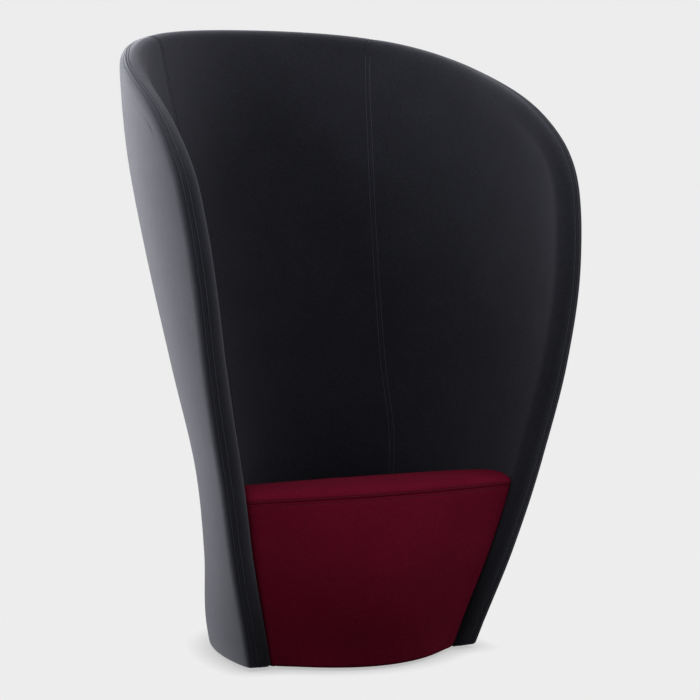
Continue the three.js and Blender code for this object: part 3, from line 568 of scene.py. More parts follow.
def seam_steps(longest, length, finest=FINE_STEP, fine_count=FINE_COUNT):
    """Distances from a seam over a length: fine steps beside it, which then grow up to the longest."""
    places, step = [0.0], finest
    while places[-1] < length - longest:
        places.append(places[-1] + step)
        if len(places) > fine_count:
            step = min(step * STEP_GROWTH, longest)
    places[-1] = length
    return np.array(places)


class Panel:
    """One padded panel of the shell, as a fine sheet with its rolled edge."""

    WIDTH_SAMPLES = 40
    HEM_ROWS_END = 0.5
    FOOT_SHARES_START = 0.8
    MIDDLE_LINE = 1e-7

    def __init__(self, wall, sewing, inside, is_back):
        self.wall, self.sewing, self.inside, self.is_back = wall, sewing, inside, is_back
        self.place = wall.back_place if is_back else wall.side_place
        self.hem = wall.sizes.inner_hem if inside else wall.sizes.hem
        self.points, self.normals, self.uv, self.rises = [], [], [], []
        self.faces = []
        self.build()

    def lowest_row(self, column):
        """The row at which each column reaches the hem. On the wing's edge that is the outer hem."""
        hem = np.full_like(column, self.hem)
        if not self.is_back:
            hem[-1] = self.wall.sizes.hem

        def is_below(row):
            return self.wall.face(self.place(column, row), self.inside)[0][..., 2] < hem

        return halved(np.zeros_like(column), np.full_like(column, self.HEM_ROWS_END), is_below)[1]

    def lowest_share(self, angle):
        """The edge share at which each angle of the rolled edge reaches the hem."""

        def is_above(share):
            return self.wall.nose(share, angle)[0][:, 2] > self.wall.sizes.hem

        return halved(np.full_like(angle, self.FOOT_SHARES_START), np.ones_like(angle), is_above)[0]

    def add(self, points, normals, uv, rises):
        first = sum(len(p) for p in self.points)
        self.points.append(points.reshape(-1, 3))
        self.normals.append(normals.reshape(-1, 3))
        self.uv.append(uv.reshape(-1, 2))
        self.rises.append(rises.ravel())
        return first

    def build(self):
        height = self.wall.sizes.height
        rows = seam_steps(ROW_STEP, height, HEM_STEP, HEM_COUNT) / height
        coarse = np.meshgrid(np.linspace(0, 1, self.WIDTH_SAMPLES), rows)
        ground = self.wall.face(self.place(*coarse), self.inside)[0]
        widths = path_lengths(ground.swapaxes(0, 1))[-1]
        near = seam_steps(PANEL_STEP, FINE_WIDTH)
        far = np.linspace(0, 1, int(widths.max() / PANEL_STEP))[1:]
        from_seam = np.array([np.concatenate([near / w, mix(near[-1] / w, 1, far)]) for w in widths])
        from_seam = np.maximum(from_seam, SEAM_GAP / widths[:, None])
        if self.is_back:
            from_seam = from_seam[:, ::-1]
        columns = 1 - from_seam if self.is_back else from_seam
        low = self.lowest_row(columns[0])
        row_grid = mix(low[None, :], 1.0, rows[:, None])
        seam_distance = from_seam * widths[:, None]
        place = self.place(columns, row_grid)
        points, normals = self.wall.face(place, self.inside)
        uv = np.stack([seam_distance, row_grid * height], -1)
        rim_distance, wing_distance = self.edge_distances(points)
        reach = self.nose_arc()
        edges = [rim_distance + reach]
        if not self.is_back:
            edges.append(wing_distance + reach)
        rises = self.sewing.rise(seam_distance, *edges) + self.sewing.hem(path_lengths(points))
        self.add(points, normals, uv, rises)
        count = columns.shape[1]
        self.faces += grid_faces(len(rows), count)
        self.add_nose(rows, columns, from_seam, widths, count)
        if self.is_back:
            self.add_left_half()

    def edge_distances(self, points):
        """Distances along the panel from its points to the rim, and to the wing's edge."""
        up = path_lengths(points)
        along = path_lengths(points.swapaxes(0, 1)).swapaxes(0, 1)
        return up[-1:] - up, along[:, -1:] - along

    def nose_arc(self):
        """Length round the roll from the face's edge to the seam."""
        return self.wall.sizes.wall / 2 * abs(NOSE_SEAM_ANGLE - self.start_angle())

    def start_angle(self):
        return math.pi if self.inside else 0.0

    def add_nose(self, rows, columns, from_seam, widths, count):
        """The panel's part of the rolled edge, row by row from its face to the seam."""
        radius = self.wall.sizes.wall / 2
        arc = self.nose_arc()
        from_edge_seam = seam_steps(NOSE_STEP, arc)[::-1]
        from_edge_seam = np.maximum(from_edge_seam[1:], SEAM_GAP)
        turn = np.sign(NOSE_SEAM_ANGLE - self.start_angle())
        angles = NOSE_SEAM_ANGLE - turn * from_edge_seam / radius
        rim_start, rim_end = (0.0, RIM_SEAM_SHARE) if self.is_back else (RIM_SEAM_SHARE, RIM_CORNER_SHARE)
        rim_shares = mix(rim_start, rim_end, columns[-1])
        seam_distance = from_seam[-1] * widths[-1]
        border = [(len(rows) - 1) * count + i for i in range(count)]
        wing_rows = rows[::-1][1:]
        if not self.is_back:
            border += [j * count + count - 1 for j in range(len(rows) - 2, -1, -1)]
        first = None
        for k, angle in enumerate(angles):
            shares = rim_shares
            distance = seam_distance
            if not self.is_back:
                foot = self.lowest_share(np.array([angle]))[0]
                shares = np.concatenate([shares, mix(foot, RIM_CORNER_SHARE, wing_rows)])
                distance = np.concatenate([distance, np.full(len(wing_rows), widths[-1])])
            flat = np.full(len(shares), angle)
            points, normals = self.wall.nose(shares, flat)
            to_seam = np.full(len(shares), from_edge_seam[k])
            uv = np.stack([shares * self.wall.sizes.height, arc - to_seam], -1)
            rises = self.sewing.rise(distance, to_seam)
            rises += self.sewing.hem(points[:, 2] - self.wall.sizes.hem)
            start = self.add(points, normals, uv, rises)
            first = start if first is None else first
        width = len(border)
        for k in range(len(angles)):
            row = [first + (k - 1) * width + i for i in range(width)] if k else border
            above = [first + k * width + i for i in range(width)]
            for i in range(width - 1):
                self.faces.append((row[i], row[i + 1], above[i + 1], above[i]))

    def add_left_half(self):
        """The back panel's left half, mirrored and sewn to the right half on the middle line."""
        points = np.vstack(self.points)
        middle = np.abs(points[:, 0]) < self.MIDDLE_LINE
        index = np.cumsum(~middle) - 1 + len(points)
        index[middle] = np.nonzero(middle)[0]
        self.faces += [tuple(int(index[i]) for i in reversed(face)) for face in list(self.faces)]
        self.points.append(mirrored(points[~middle]))
        self.normals.append(mirrored(np.vstack(self.normals)[~middle]))
        self.uv.append(np.vstack(self.uv)[~middle])
        self.rises.append(np.concatenate(self.rises)[~middle])

    def solid(self, depth):
        """The closed pad: its points, faces and UV pairs."""
        points, normals = np.vstack(self.points), np.vstack(self.normals)
        proud = points + normals * np.concatenate(self.rises)[:, None]
        uv = np.vstack(self.uv)
        shape, faces = closed_layer(proud, points - normals * depth, self.faces)
        return shape, faces, np.vstack([uv, uv])


def make_pads(context, inside):
    """The three panels of one side of the wall."""
    settings = settings_of(context)
    wall = Wall(settings.shell)
    seam_share = settings.sewing.inner_seam_share if inside else 1.0
    sewing = Sewing(settings.sewing, settings.shell.puff, seam_share=seam_share)
    depth = settings.shell.inner_pad if inside else settings.shell.outer_pad
    face = "inner" if inside else "outer"
    wool = charcoal_wool(settings.finishes)
    side = Panel(wall, sewing, inside, is_back=False).solid(depth)
    back = Panel(wall, sewing, inside, is_back=True).solid(depth)
    shapes = {"right": side, "left": side, "back": back}
    for name, (points, faces, uv) in shapes.items():
        if name == "left":
            points, faces = mirrored(points), [tuple(reversed(f)) for f in faces]
        piece = make_mesh(face + "_pad_" + name, points, faces, uv)
        replaced = [face + "_cover_" + name, face + "_foam_" + name]
        if inside and name != "back":
            replaced.append("edge_foam_" + name)
        dress(piece, wool, replaced)


class CHAIR_OT_outer_pads(bpy.types.Operator):
    """Upholster the outside of the shell in three panels"""

    bl_idname = "lounge_chair.outer_pads"
    bl_label = "Outer panels"

    def execute(self, context):
        make_pads(context, inside=False)
        return {"FINISHED"}


class CHAIR_OT_inner_pads(bpy.types.Operator):
    """Upholster the inside of the shell in three panels"""

    bl_idname = "lounge_chair.inner_pads"
    bl_label = "Inner panels"

    def execute(self, context):
        make_pads(context, inside=True)
        return {"FINISHED"}


# The seat block


class SeatBlock:
    """The seat block's outlines between the shell's wings."""

    RING_POINTS = 420
    SIDE_POINTS = 161
    FRONT_POINTS = 81
    RAKE_ROUNDS = 4
    CORNER_REACH = 32 * MM
    CORNER_WAY = 0.7

    def __init__(self, wall, sizes):
        self.wall, self.sizes = wall, sizes
        self.rake_start = self.corner_forward(sizes.seam_height) + sizes.rake_setback
        self.crown = EvenCurve(np.array(CROWN_SHARES) * (sizes.crown_reach, sizes.crown_rise))

    def wing_share(self, height):
        """The edge share at which the wing's edge has a height."""
        return halved(RIM_CORNER_SHARE, 1.0, lambda share: self.wall.edge_place(share)[1] > height)[0]

    def edge_forward(self, height):
        """Forward place of the middle of the wing's rolled edge at a height."""
        return self.wall.edge_frame(np.array([self.wing_share(height)]))[0][0, 1]

    def corner_forward(self, height):
        """Forward place of the block's front corners at a height."""
        level = min(max(height, 0.0), self.sizes.seam_height)
        lead = mix(self.sizes.lead_at_floor, self.sizes.lead_at_seam, level / self.sizes.seam_height)
        return self.edge_forward(level) - lead

    def bulge(self, height):
        """How far the front's middle stands before its corners at a height."""
        share = min(max(height / self.sizes.seam_height, 0.0), 1.0)
        return mix(self.sizes.bulge_at_floor, self.sizes.bulge_at_seam, share)

    def raked(self, height, y, settle=0.0):
        """A height, less the fall of the seat behind its front. The slope starts over a short bend."""
        bend = self.sizes.rake_setback / 2
        past = np.asarray(y) - self.rake_start
        soft = np.where(past > bend, past, (past + bend) ** 2 / (4 * bend))
        return height - (self.sizes.rake + settle) * np.where(past < -bend, 0.0, soft)

    def level_place(self, turn, height, depth):
        """A place at a depth under the wall's outer face, at the same height."""
        normal = self.wall.normal(turn, height)
        level = np.hypot(normal[..., 0], normal[..., 1])[..., None]
        return self.wall.point(turn, height) - normal * (1, 1, 0) * depth / level**2

    def turn_at(self, forward, height, depth):
        """The turn at which a forward place is reached, at a depth under the wall's outer face."""

        def is_behind(turn):
            return self.level_place(np.array(turn), np.array(height), depth)[1] > forward

        return halved(0.0, math.pi, is_behind)[0]

    def ring(self, height, wall_inset, front_inset, is_raked=True, settle=0.0):
        """A closed outline of even points, from the middle of the front round by the right."""
        depth = self.wall.sizes.wall + wall_inset
        forward = self.corner_forward(height) + front_inset
        turns, place = self.side(self.turn_at(forward, height, depth), height, depth)
        if is_raked:
            for _ in range(self.RAKE_ROUNDS):
                place = self.level_place(turns, self.raked(height, place[:, 1], settle), depth)
        corner = place[0]
        across = np.linspace(-1, 1, self.FRONT_POINTS)[1:-1]
        y = corner[1] - self.bulge(height) * (1 - across**2)
        z = self.raked(height, y, settle) if is_raked else np.full(len(y), height)
        front = np.stack([corner[0] * across, y, z], -1)
        ring = self.puffed(from_middle(front, place), corner)
        return softened(ring, self.sizes.corner, self.RING_POINTS)

    def side(self, turn, height, depth):
        """A level outline under the wall from one turn round the back to its mirror image, and its turns."""
        turns = np.linspace(turn, -turn, self.SIDE_POINTS)
        return turns, self.level_place(turns, np.full(self.SIDE_POINTS, height), depth)

    def puffed(self, ring, corner):
        """The ring with its two front corners bulged outwards."""
        for side in (1, -1):
            middle = corner * (side, 1, 1)
            distance = np.linalg.norm(ring - middle, axis=1) / self.CORNER_REACH
            way = (side * self.CORNER_WAY, -self.CORNER_WAY, 0)
            ring = ring + self.sizes.corner_puff * np.exp(-(distance**2))[:, None] * way
        return ring

    def crown_ring(self, distance):
        """An outline on the crown, at a distance over it from the seam."""
        sizes = self.sizes
        inset, rise = self.crown.at(distance / self.crown.length)
        up_share = min(rise / sizes.crown_rise, 1.0)
        side = sizes.side_reach * (1 - math.sqrt(1 - up_share**2))
        height = sizes.seam_height + sizes.crown_gap + rise
        return self.ring(height, sizes.clearance + side, inset, settle=sizes.settle * up_share)


def from_middle(front, side):
    """A ring of a front and a side, that starts in the middle of the front."""
    half = len(front) // 2
    return np.vstack([front[half:], side, front[:half]])


def closed_path(ring):
    """A ring with its first point again at its end, and the lengths up to its points."""
    closed = np.vstack([ring, ring[:1]])
    return closed, path_lengths(closed)


def read_path(points, lengths, places):
    """Points of a path at some lengths along it."""
    return np.stack([np.interp(places, lengths, points[:, k]) for k in range(3)], -1)


# A ring is smoothed on this many times its points, over this many radii.
FINER = 4
RADII = 3


def softened(ring, radius, count):
    """A closed ring resampled to even points and rounded over a radius."""
    closed, lengths = closed_path(ring)
    fine = np.linspace(0, lengths[-1], FINER * count, endpoint=False)
    even = read_path(closed, lengths, fine)
    step = lengths[-1] / len(fine)
    reach = int(RADII * radius / step)
    weights = np.exp(-0.5 * (np.arange(-reach, reach + 1) * step / radius) ** 2)
    smooth = sum(w * np.roll(even, k - reach, axis=0) for k, w in enumerate(weights)) / weights.sum()
    return smooth[::FINER]


# The cushion's rings towards its pole and on its side, how far its side is tucked in beside the wall, and how
# many thicknesses of the front pad it stands behind the front.
POLE_RINGS = 24
SIDE_RINGS = 12
TUCK = 4 * MM
PADS_BEHIND = 3


def make_seat_shape(block):
    """Rings of the seat cushion from its board over the seam and the crown, its pole, and each ring's
    distance from the seam."""
    sizes = block.sizes
    base = sizes.seam_height + sizes.crown_gap
    rings, distances = [], []
    behind_pad = PADS_BEHIND * sizes.pad
    for share in np.linspace(0, 1, SIDE_RINGS, endpoint=False):
        height = mix(sizes.board_top, base, share)
        rings.append(block.ring(height, sizes.clearance + TUCK, behind_pad))
        distances.append(math.inf)
    for distance in seam_steps(CROWN_STEP, block.crown.length):
        rings.append(block.crown_ring(distance))
        distances.append(distance)
    behind = block.wall.sizes.depth * BACK_SHARES[1] * CROWN_POLE_SHARE
    pole = np.array([0.0, block.wall.origin_y + behind, 0.0])
    top = rings[-1]
    for share in np.linspace(0, 1, POLE_RINGS, endpoint=False)[1:]:
        ring = mix(top, pole, share)
        ring[:, 2] = block.raked(base + sizes.crown_rise, ring[:, 1], sizes.settle)
        rings.append(ring)
        distances.append(math.inf)
    pole[2] = block.raked(base + sizes.crown_rise, pole[1], sizes.settle)
    return rings, pole, distances


def lofted(rings, top_pole):
    """Points and faces of rings closed to a point at the top and at the middle of the first ring."""
    count = len(rings[0])
    points = np.vstack([*rings, top_pole[None], rings[0].mean(0)[None]])
    faces = grid_faces(len(rings), count, closed=True)
    top, low = len(points) - 2, len(points) - 1
    last = (len(rings) - 1) * count
    for i in range(count):
        j = (i + 1) % count
        faces += [(last + i, last + j, top), (j, i, low)]
    return points, facing_out(points, faces)


# The simulation that swells the cushion.
SWELL_VOXEL = 6 * MM
SWELL_PRESSURE = 4.0
SWELL_QUALITY = 5
SWELL_FRAMES = 20
HELD_OVER_SEAM = 4 * MM


def evaluated_mesh(piece):
    """A new mesh of a piece with its modifiers applied."""
    graph = bpy.context.evaluated_depsgraph_get()
    return bpy.data.meshes.new_from_object(piece.evaluated_get(graph))


def swollen(points, faces, is_held, cap):
    """Where cloth simulation under air pressure carries the points of a closed form, by at most the cap."""
    source = make_mesh("swelling", points, faces)
    remesh = source.modifiers.new("remesh", "REMESH")
    remesh.mode = "VOXEL"
    remesh.voxel_size = SWELL_VOXEL
    proxy = add_object("swelling_proxy", evaluated_mesh(source))
    rest = vertices_of(proxy.data)
    group = proxy.vertex_groups.new(name="held")
    group.add([int(i) for i in np.nonzero(is_held(rest))[0]], 1.0, "REPLACE")
    cloth = proxy.modifiers.new("cloth", "CLOTH")
    cloth.settings.use_pressure = True
    cloth.settings.uniform_pressure_force = SWELL_PRESSURE
    cloth.settings.effector_weights.gravity = 0
    cloth.settings.vertex_group_mass = "held"
    cloth.settings.quality = SWELL_QUALITY
    cloth.collision_settings.use_collision = False
    scene = bpy.context.scene
    for number in range(1, SWELL_FRAMES + 1):
        scene.frame_set(number)
    graph = bpy.context.evaluated_depsgraph_get()
    simulated = vertices_of(proxy.evaluated_get(graph).data)
    scene.frame_set(1)
    moves = simulated - rest
    longest = np.linalg.norm(moves, axis=1).max()
    if longest > cap:
        moves *= cap / longest
    for piece in (source, proxy):
        bpy.data.objects.remove(piece)
    return carried(points, rest, moves)


def vertices_of(mesh):
    """The points of a mesh, as an array."""
    flat = np.zeros(len(mesh.vertices) * 3, np.float32)
    mesh.vertices.foreach_get("co", flat)
    return flat.reshape(-1, 3).astype(float)


# A point follows this many points of the simulated cloth.
NEIGHBOURS = 6


def carried(points, rest, moves):
    """The points, moved as the nearest points at rest have moved."""
    tree = KDTree(len(rest))
    for i, p in enumerate(rest):
        tree.insert(p, i)
    tree.balance()
    moved = np.array(points, float)
    for i, p in enumerate(points):
        found = tree.find_n(Vector(p), NEIGHBOURS)
        weights = np.array([1 / (distance + MM) for _, _, distance in found])
        move = sum(w * moves[index] for w, (_, index, _) in zip(weights, found))
        moved[i] += move / weights.sum()
    return moved


def unrolled(rings, pole):
    """UV pairs of a cushion's rings in metres, laid flat from its middle."""
    stack = np.array([*rings[::-1]])
    lengths = path_lengths(stack)[::-1]
    flat = []
    for ring, length in zip(rings, lengths):
        way = unit(ring[:, :2] - pole[:2])
        reach = np.linalg.norm(rings[-1][:, :2] - pole[:2], axis=1)
        flat.append(way * (reach + length)[:, None])
    return np.vstack([*flat, np.zeros((2, 2))])


class CHAIR_OT_seat_cushion(bpy.types.Operator):
    """Make the crowned seat cushion and swell it"""

    bl_idname = "lounge_chair.seat_cushion"
    bl_label = "Seat cushion"

    def execute(self, context):
        settings = settings_of(context)
        block = SeatBlock(Wall(settings.shell), settings.seat)
        rings, pole, distances = make_seat_shape(block)
        points, faces = lofted(rings, pole)

        def is_held(rest):
            return rest[:, 2] < block.raked(settings.seat.seam_height, rest[:, 1]) + HELD_OVER_SEAM

        points = swollen(points, faces, is_held, settings.seat.swell)
        sewing = Sewing(settings.sewing, 0.0, settings.seat.dip)
        count = len(rings[0])
        for k, distance in enumerate(distances):
            if distance < math.inf:
                ring = points[k * count : (k + 1) * count]
                ring += outward(ring, closed=True) * sewing.rise(np.full(count, distance))[:, None]
        piece = make_mesh("seat_cushion", points, faces, unrolled(rings, pole))
        wool = burgundy_wool(settings.finishes)
        dress(piece, wool, ("seat_cover", "seat_foam"))
        return {"FINISHED"}


class CHAIR_OT_front_pad(bpy.types.Operator):
    """Make the front panel, wrapped round the block's corners"""

    bl_idname = "lounge_chair.front_pad"
    bl_label = "Front panel"

    def execute(self, context):
        settings = settings_of(context)
        sizes = settings.seat
        block = SeatBlock(Wall(settings.shell), sizes)
        sewing = Sewing(settings.sewing, 0.0, sizes.dip)
        top = sizes.seam_height
        length = top - settings.shell.hem
        from_hem = seam_steps(PANEL_STEP, length / 2, HEM_STEP, HEM_COUNT)
        drops = seam_steps(PANEL_STEP, length / 2)
        drops = np.concatenate([drops, length - from_hem[-2::-1]])
        points, normals, uv, rises = [], [], [], []
        for drop in drops:
            ring = block.ring(top - drop, sizes.clearance, 0.0, is_raked=False)
            sheet = front_part(ring, sizes.wrap)
            along = path_lengths(sheet)
            points.append(sheet)
            normals.append(outward(sheet))
            uv.append(np.stack([along - along[-1] / 2, np.full(len(sheet), -drop)], -1))
            rises.append(sewing.rise(np.full(len(sheet), drop)) + sewing.hem(length - drop))
        rows, columns = len(points), len(points[0])
        flat, ways = np.vstack(points), np.vstack(normals)
        proud = flat + ways * np.concatenate(rises)[:, None]
        sunk = flat - ways * np.tile(front_depth(columns, sizes), rows)[:, None]
        shape, faces = closed_layer(proud, sunk, grid_faces(rows, columns))
        piece = make_mesh("front_pad", shape, faces, np.vstack([*uv, *uv]))
        wool = burgundy_wool(settings.finishes)
        dress(piece, wool, ("front_cover", "front_foam"))
        return {"FINISHED"}


# The front panel: its columns, the weight of the forward place against the width where its corner is found,
# and its returns: how deep they are, where they start and how fast the panel thins there.
FRONT_COLUMNS = 180
CORNER_LEAN = 1.2
RETURN_DEPTH = 2 * MM
RETURN_START = 0.84
RETURN_FADE = 0.06


def front_part(ring, wrap):
    """The stretch of a ring in front of its corners, with a return along both sides, as even points."""
    corner = int(np.argmax(ring[:, 0] - ring[:, 1] * CORNER_LEAN))
    closed, lengths = closed_path(ring)
    end = lengths[corner] + wrap
    reach = np.linspace(-end, end, FRONT_COLUMNS)
    return read_path(closed, lengths, np.mod(reach, lengths[-1]))


def outward(sheet, closed=False):
    """Level ways out of a path of points that runs from the left round the front to the right."""
    along = np.gradient(sheet, axis=0)
    if closed:
        along = np.roll(sheet, -1, axis=0) - np.roll(sheet, 1, axis=0)
    return unit(np.stack([along[:, 1], -along[:, 0], np.zeros(len(sheet))], -1))


def front_depth(columns, sizes):
    """Depth of the front panel at each column: full across the front, and thin on the returns."""
    share = np.abs(np.linspace(-1, 1, columns))
    return mix(sizes.pad, RETURN_DEPTH, smoothstep((share - RETURN_START) / RETURN_FADE))


# Stitches

# A stitch is a ball with few faces, drawn out to its length.
STITCH_SEGMENTS = 6
STITCH_RINGS = 4


def stitch_tree():
    """Geometry nodes that set stitches along a path: pitch, length, thickness and material."""
    tree = bpy.data.node_groups.get("Stitches")
    if tree:
        return tree
    tree = bpy.data.node_groups.new("Stitches", "GeometryNodeTree")
    face = tree.interface
    face.new_socket("Path", in_out="INPUT", socket_type="NodeSocketGeometry")
    for name in ("Pitch", "Length", "Thread"):
        face.new_socket(name, in_out="INPUT", socket_type="NodeSocketFloat")
    face.new_socket("Material", in_out="INPUT", socket_type="NodeSocketMaterial")
    face.new_socket("Stitches", in_out="OUTPUT", socket_type="NodeSocketGeometry")
    new = tree.nodes.new
    entry = new("NodeGroupInput")
    curve = new("GeometryNodeMeshToCurve")
    resample = new("GeometryNodeResampleCurve")
    resample.mode = "LENGTH"
    ball = new("GeometryNodeMeshUVSphere")
    ball.inputs["Segments"].default_value = STITCH_SEGMENTS
    ball.inputs["Rings"].default_value = STITCH_RINGS
    ball.inputs["Radius"].default_value = 0.5
    size = new("ShaderNodeCombineXYZ")
    shape = new("GeometryNodeTransform")
    tangent = new("GeometryNodeInputTangent")
    align = new("FunctionNodeAlignRotationToVector")
    align.axis = "Z"
    place = new("GeometryNodeInstanceOnPoints")
    real = new("GeometryNodeRealizeInstances")
    paint = new("GeometryNodeSetMaterial")
    leave = new("NodeGroupOutput")
    for start, output, end, target in (
        (entry, "Path", curve, "Mesh"),
        (curve, "Curve", resample, "Curve"),
        (entry, "Pitch", resample, "Length"),
        (entry, "Thread", size, "X"),
        (entry, "Thread", size, "Y"),
        (entry, "Length", size, "Z"),
        (ball, "Mesh", shape, "Geometry"),
        (size, "Vector", shape, "Scale"),
        (tangent, "Tangent", align, "Vector"),
        (resample, "Curve", place, "Points"),
        (shape, "Geometry", place, "Instance"),
        (align, "Rotation", place, "Rotation"),
        (place, "Instances", real, "Geometry"),
        (real, "Geometry", paint, "Geometry"),
        (entry, "Material", paint, "Material"),
        (paint, "Geometry", leave, "Stitches"),
    ):
        tree.links.new(start.outputs[output], end.inputs[target])
    return tree


def set_input(modifier, name, value):
    """Sets a geometry nodes input by its socket's identifier."""
    for item in modifier.node_group.interface.items_tree:
        if item.name == name and getattr(item, "in_out", "") == "INPUT":
            modifier[item.identifier] = value
            return
    raise KeyError(name)


def make_stitches(name, paths, pitch, length, thickness, material, slot):
    """One mesh of stitches or staples along some paths."""
    points = np.vstack(paths)
    edges, first = [], 0
    for path in paths:
        edges += [(first + i, first + i + 1) for i in range(len(path) - 1)]
        first += len(path)
    mesh = bpy.data.meshes.new(name + "_paths")
    mesh.from_pydata([tuple(p) for p in points], edges, [])
    guide = add_object(name + "_paths", mesh)
    modifier = guide.modifiers.new("stitches", "NODES")
    modifier.node_group = stitch_tree()
    inputs = {"Pitch": pitch, "Length": length, "Thread": thickness, "Material": material}
    for key, value in inputs.items():
        set_input(modifier, key, value)
    made = evaluated_mesh(guide)
    bpy.data.objects.remove(guide)
    smooth_faces(made)
    dress(add_object(name, made), material)


# The paths of the stitches: their points, the stretches of the seams that they run along, and how far a
# thread's middle lies over the floor of its dimple, as a share of its thickness.
PATH_POINTS = 260
PATH_COLUMNS = 30
EDGE_PATH_END = 0.999
PANEL_PATH_ROWS = (0.02, 0.985)
THREAD_LIFT = 0.45


def stitch_sink(sewing):
    """How deep the middle of a stitch lies under the bare surface."""
    return sewing.dimple - sewing.thread * THREAD_LIFT


def edge_paths(wall, sewing):
    """Stitch rows on both sides of the seam along the rolled edge, from foot to foot."""
    turn = sewing.margin / (wall.sizes.wall / 2)
    paths = []
    for side in (-1, 1):
        angles = np.full(2 * PATH_POINTS, NOSE_SEAM_ANGLE + side * turn)
        shares = np.linspace(0, EDGE_PATH_END, 2 * PATH_POINTS)
        points = wall.nose(shares, angles, sink=stitch_sink(sewing))[0]
        points = points[points[:, 2] > wall.sizes.hem + sewing.margin]
        paths.append(np.vstack([mirrored(points)[::-1], points[1:]]))
    return paths


def panel_paths(wall, sewing, inside):
    """Stitch rows beside the seams between the panels, one row on each side."""
    rows = np.linspace(*PANEL_PATH_ROWS, PATH_POINTS)
    paths = []
    for place, is_back in ((wall.side_place, False), (wall.back_place, True)):
        columns = np.linspace(0, 1, PATH_COLUMNS)
        ground = wall.face(place(*np.meshgrid(columns, rows)), inside)[0]
        widths = path_lengths(ground.swapaxes(0, 1))[-1]
        share = sewing.margin / widths
        column = 1 - share if is_back else share
        points, normals = wall.face(place(column, rows), inside)
        points = points - normals * stitch_sink(sewing)
        points = points[points[:, 2] > wall.sizes.inner_hem]
        paths += [points, mirrored(points)]
    return paths


class CHAIR_OT_stitches(bpy.types.Operator):
    """Top-stitch the seams of the shell and the seat block"""

    bl_idname = "lounge_chair.stitches"
    bl_label = "Stitches"

    def execute(self, context):
        settings = settings_of(context)
        wall, sewing = Wall(settings.shell), settings.sewing
        dark = charcoal_thread(settings.finishes)
        sizes = (sewing.pitch, sewing.length, sewing.thread)
        make_stitches("edge_stitches", edge_paths(wall, sewing), *sizes, dark, "charcoal_wool")
        make_stitches("outer_stitches", panel_paths(wall, sewing, False), *sizes, dark, "charcoal_wool")
        make_stitches("inner_stitches", panel_paths(wall, sewing, True), *sizes, dark, "charcoal_wool")
        seat = settings.seat
        block = SeatBlock(wall, seat)
        ring = block.ring(seat.seam_height - sewing.margin, seat.clearance, 0.0, is_raked=False)
        front = front_part(ring, seat.wrap)
        front = front - outward(front) * stitch_sink(sewing)
        crown = block.crown_ring(sewing.margin)
        crown = crown - outward(crown, closed=True) * stitch_sink(sewing)
        red = burgundy_thread(settings.finishes)
        make_stitches("seat_stitches", [front, closed_path(crown)[0]], *sizes, red, "burgundy_wool")
        return {"FINISHED"}


# The underside


class BaseOutline:
    """The base board's outline: inside the outer padding, and behind the front panel's foam."""

    POINTS = 480
    CORNER_RADIUS = 2 * MM

    def __init__(self, settings):
        self.sizes = settings.base
        self.wall = Wall(settings.shell)
        self.block = SeatBlock(self.wall, settings.seat)
        self.depth = settings.shell.outer_pad + self.sizes.room
        self.front = settings.seat.pad + self.sizes.room

    def ring(self, height, inset):
        """The outline at a height, or one that lies further in."""
        block, depth = self.block, self.depth + inset
        turn = block.turn_at(block.edge_forward(height) + self.sizes.room + inset, height, depth)
        side = block.side(turn, height, depth)[1]
        forward = block.corner_forward(height)
        block_depth = self.wall.sizes.wall + block.sizes.clearance
        corner_turn = block.turn_at(forward, height, block_depth)
        half_width = block.level_place(corner_turn, np.array(height), block_depth)[0]
        across = np.linspace(-1, 1, block.FRONT_POINTS)
        bulge, setback = block.bulge(height), self.front + inset
        slope = 2 * bulge * across / half_width
        length = np.hypot(1, slope)
        x = half_width * across - setback * slope / length
        y = forward - bulge * (1 - across**2) + setback / length
        front = np.stack([x, y, np.full(len(x), height)], -1)
        return softened(from_middle(front, side), self.CORNER_RADIUS, self.POINTS)


# The dust cloth: how far in its edge lies, its rings, its least ripple, how fast the ripple fades inwards,
# and how far a staple's middle lies under the cloth, as a share of its wire.
CLOTH_INSET = 0.6 * MM
CLOTH_RINGS = 40
RIPPLE_FLOOR = 0.4
RIPPLE_FADE = 8
STAPLE_DROP = 0.3


class CHAIR_OT_dust_cloth(bpy.types.Operator):
    """Close the base with a stapled dust cloth"""

    bl_idname = "lounge_chair.dust_cloth"
    bl_label = "Dust cloth"

    def execute(self, context):
        settings = settings_of(context)
        base = settings.base
        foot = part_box("dust_cover")[0].z
        outline = BaseOutline(settings)
        edge = outline.ring(foot, CLOTH_INSET)
        count = len(edge)
        scallop = np.sin(math.pi * closed_path(edge)[1][:count] / base.staple_pitch) ** 2
        middle = np.array([0.0, edge[:, 1].mean(), foot])
        proud = []
        for share in np.linspace(0, 1, CLOTH_RINGS, endpoint=False):
            ring = mix(edge, middle, share)
            ring[:, 2] = foot + base.ripple * (RIPPLE_FLOOR + scallop * math.exp(-RIPPLE_FADE * share))
            proud.append(ring)
        points = np.vstack([*proud, middle[None] + (0, 0, RIPPLE_FLOOR * base.ripple)])
        faces = grid_faces(len(proud), count, closed=True)
        last = (len(proud) - 1) * count
        faces += [(last + i, last + (i + 1) % count, len(points) - 1) for i in range(count)]
        shape, faces = closed_layer(points, points + (0, 0, base.cloth), faces)
        piece = make_mesh("dust_cloth", shape, faces, shape[:, :2])
        dress(piece, dust_cloth(settings.finishes), ("dust_cover",))
        path = outline.ring(foot, base.staple_inset) - (0, 0, base.staple_wire * STAPLE_DROP)
        sizes = (base.staple_pitch, base.staple_length, base.staple_wire)
        make_stitches("staples", [closed_path(path)[0]], *sizes, zinc_plate(settings.finishes), "zinc")
        return {"FINISHED"}


# Turned pieces: their sides, the points of a rounding, and a glide's hole as a share of its recess.
ROUND_SIDES = 48
ROUNDING_STEPS = 5
GLIDE_HOLE_SHARE = 0.45

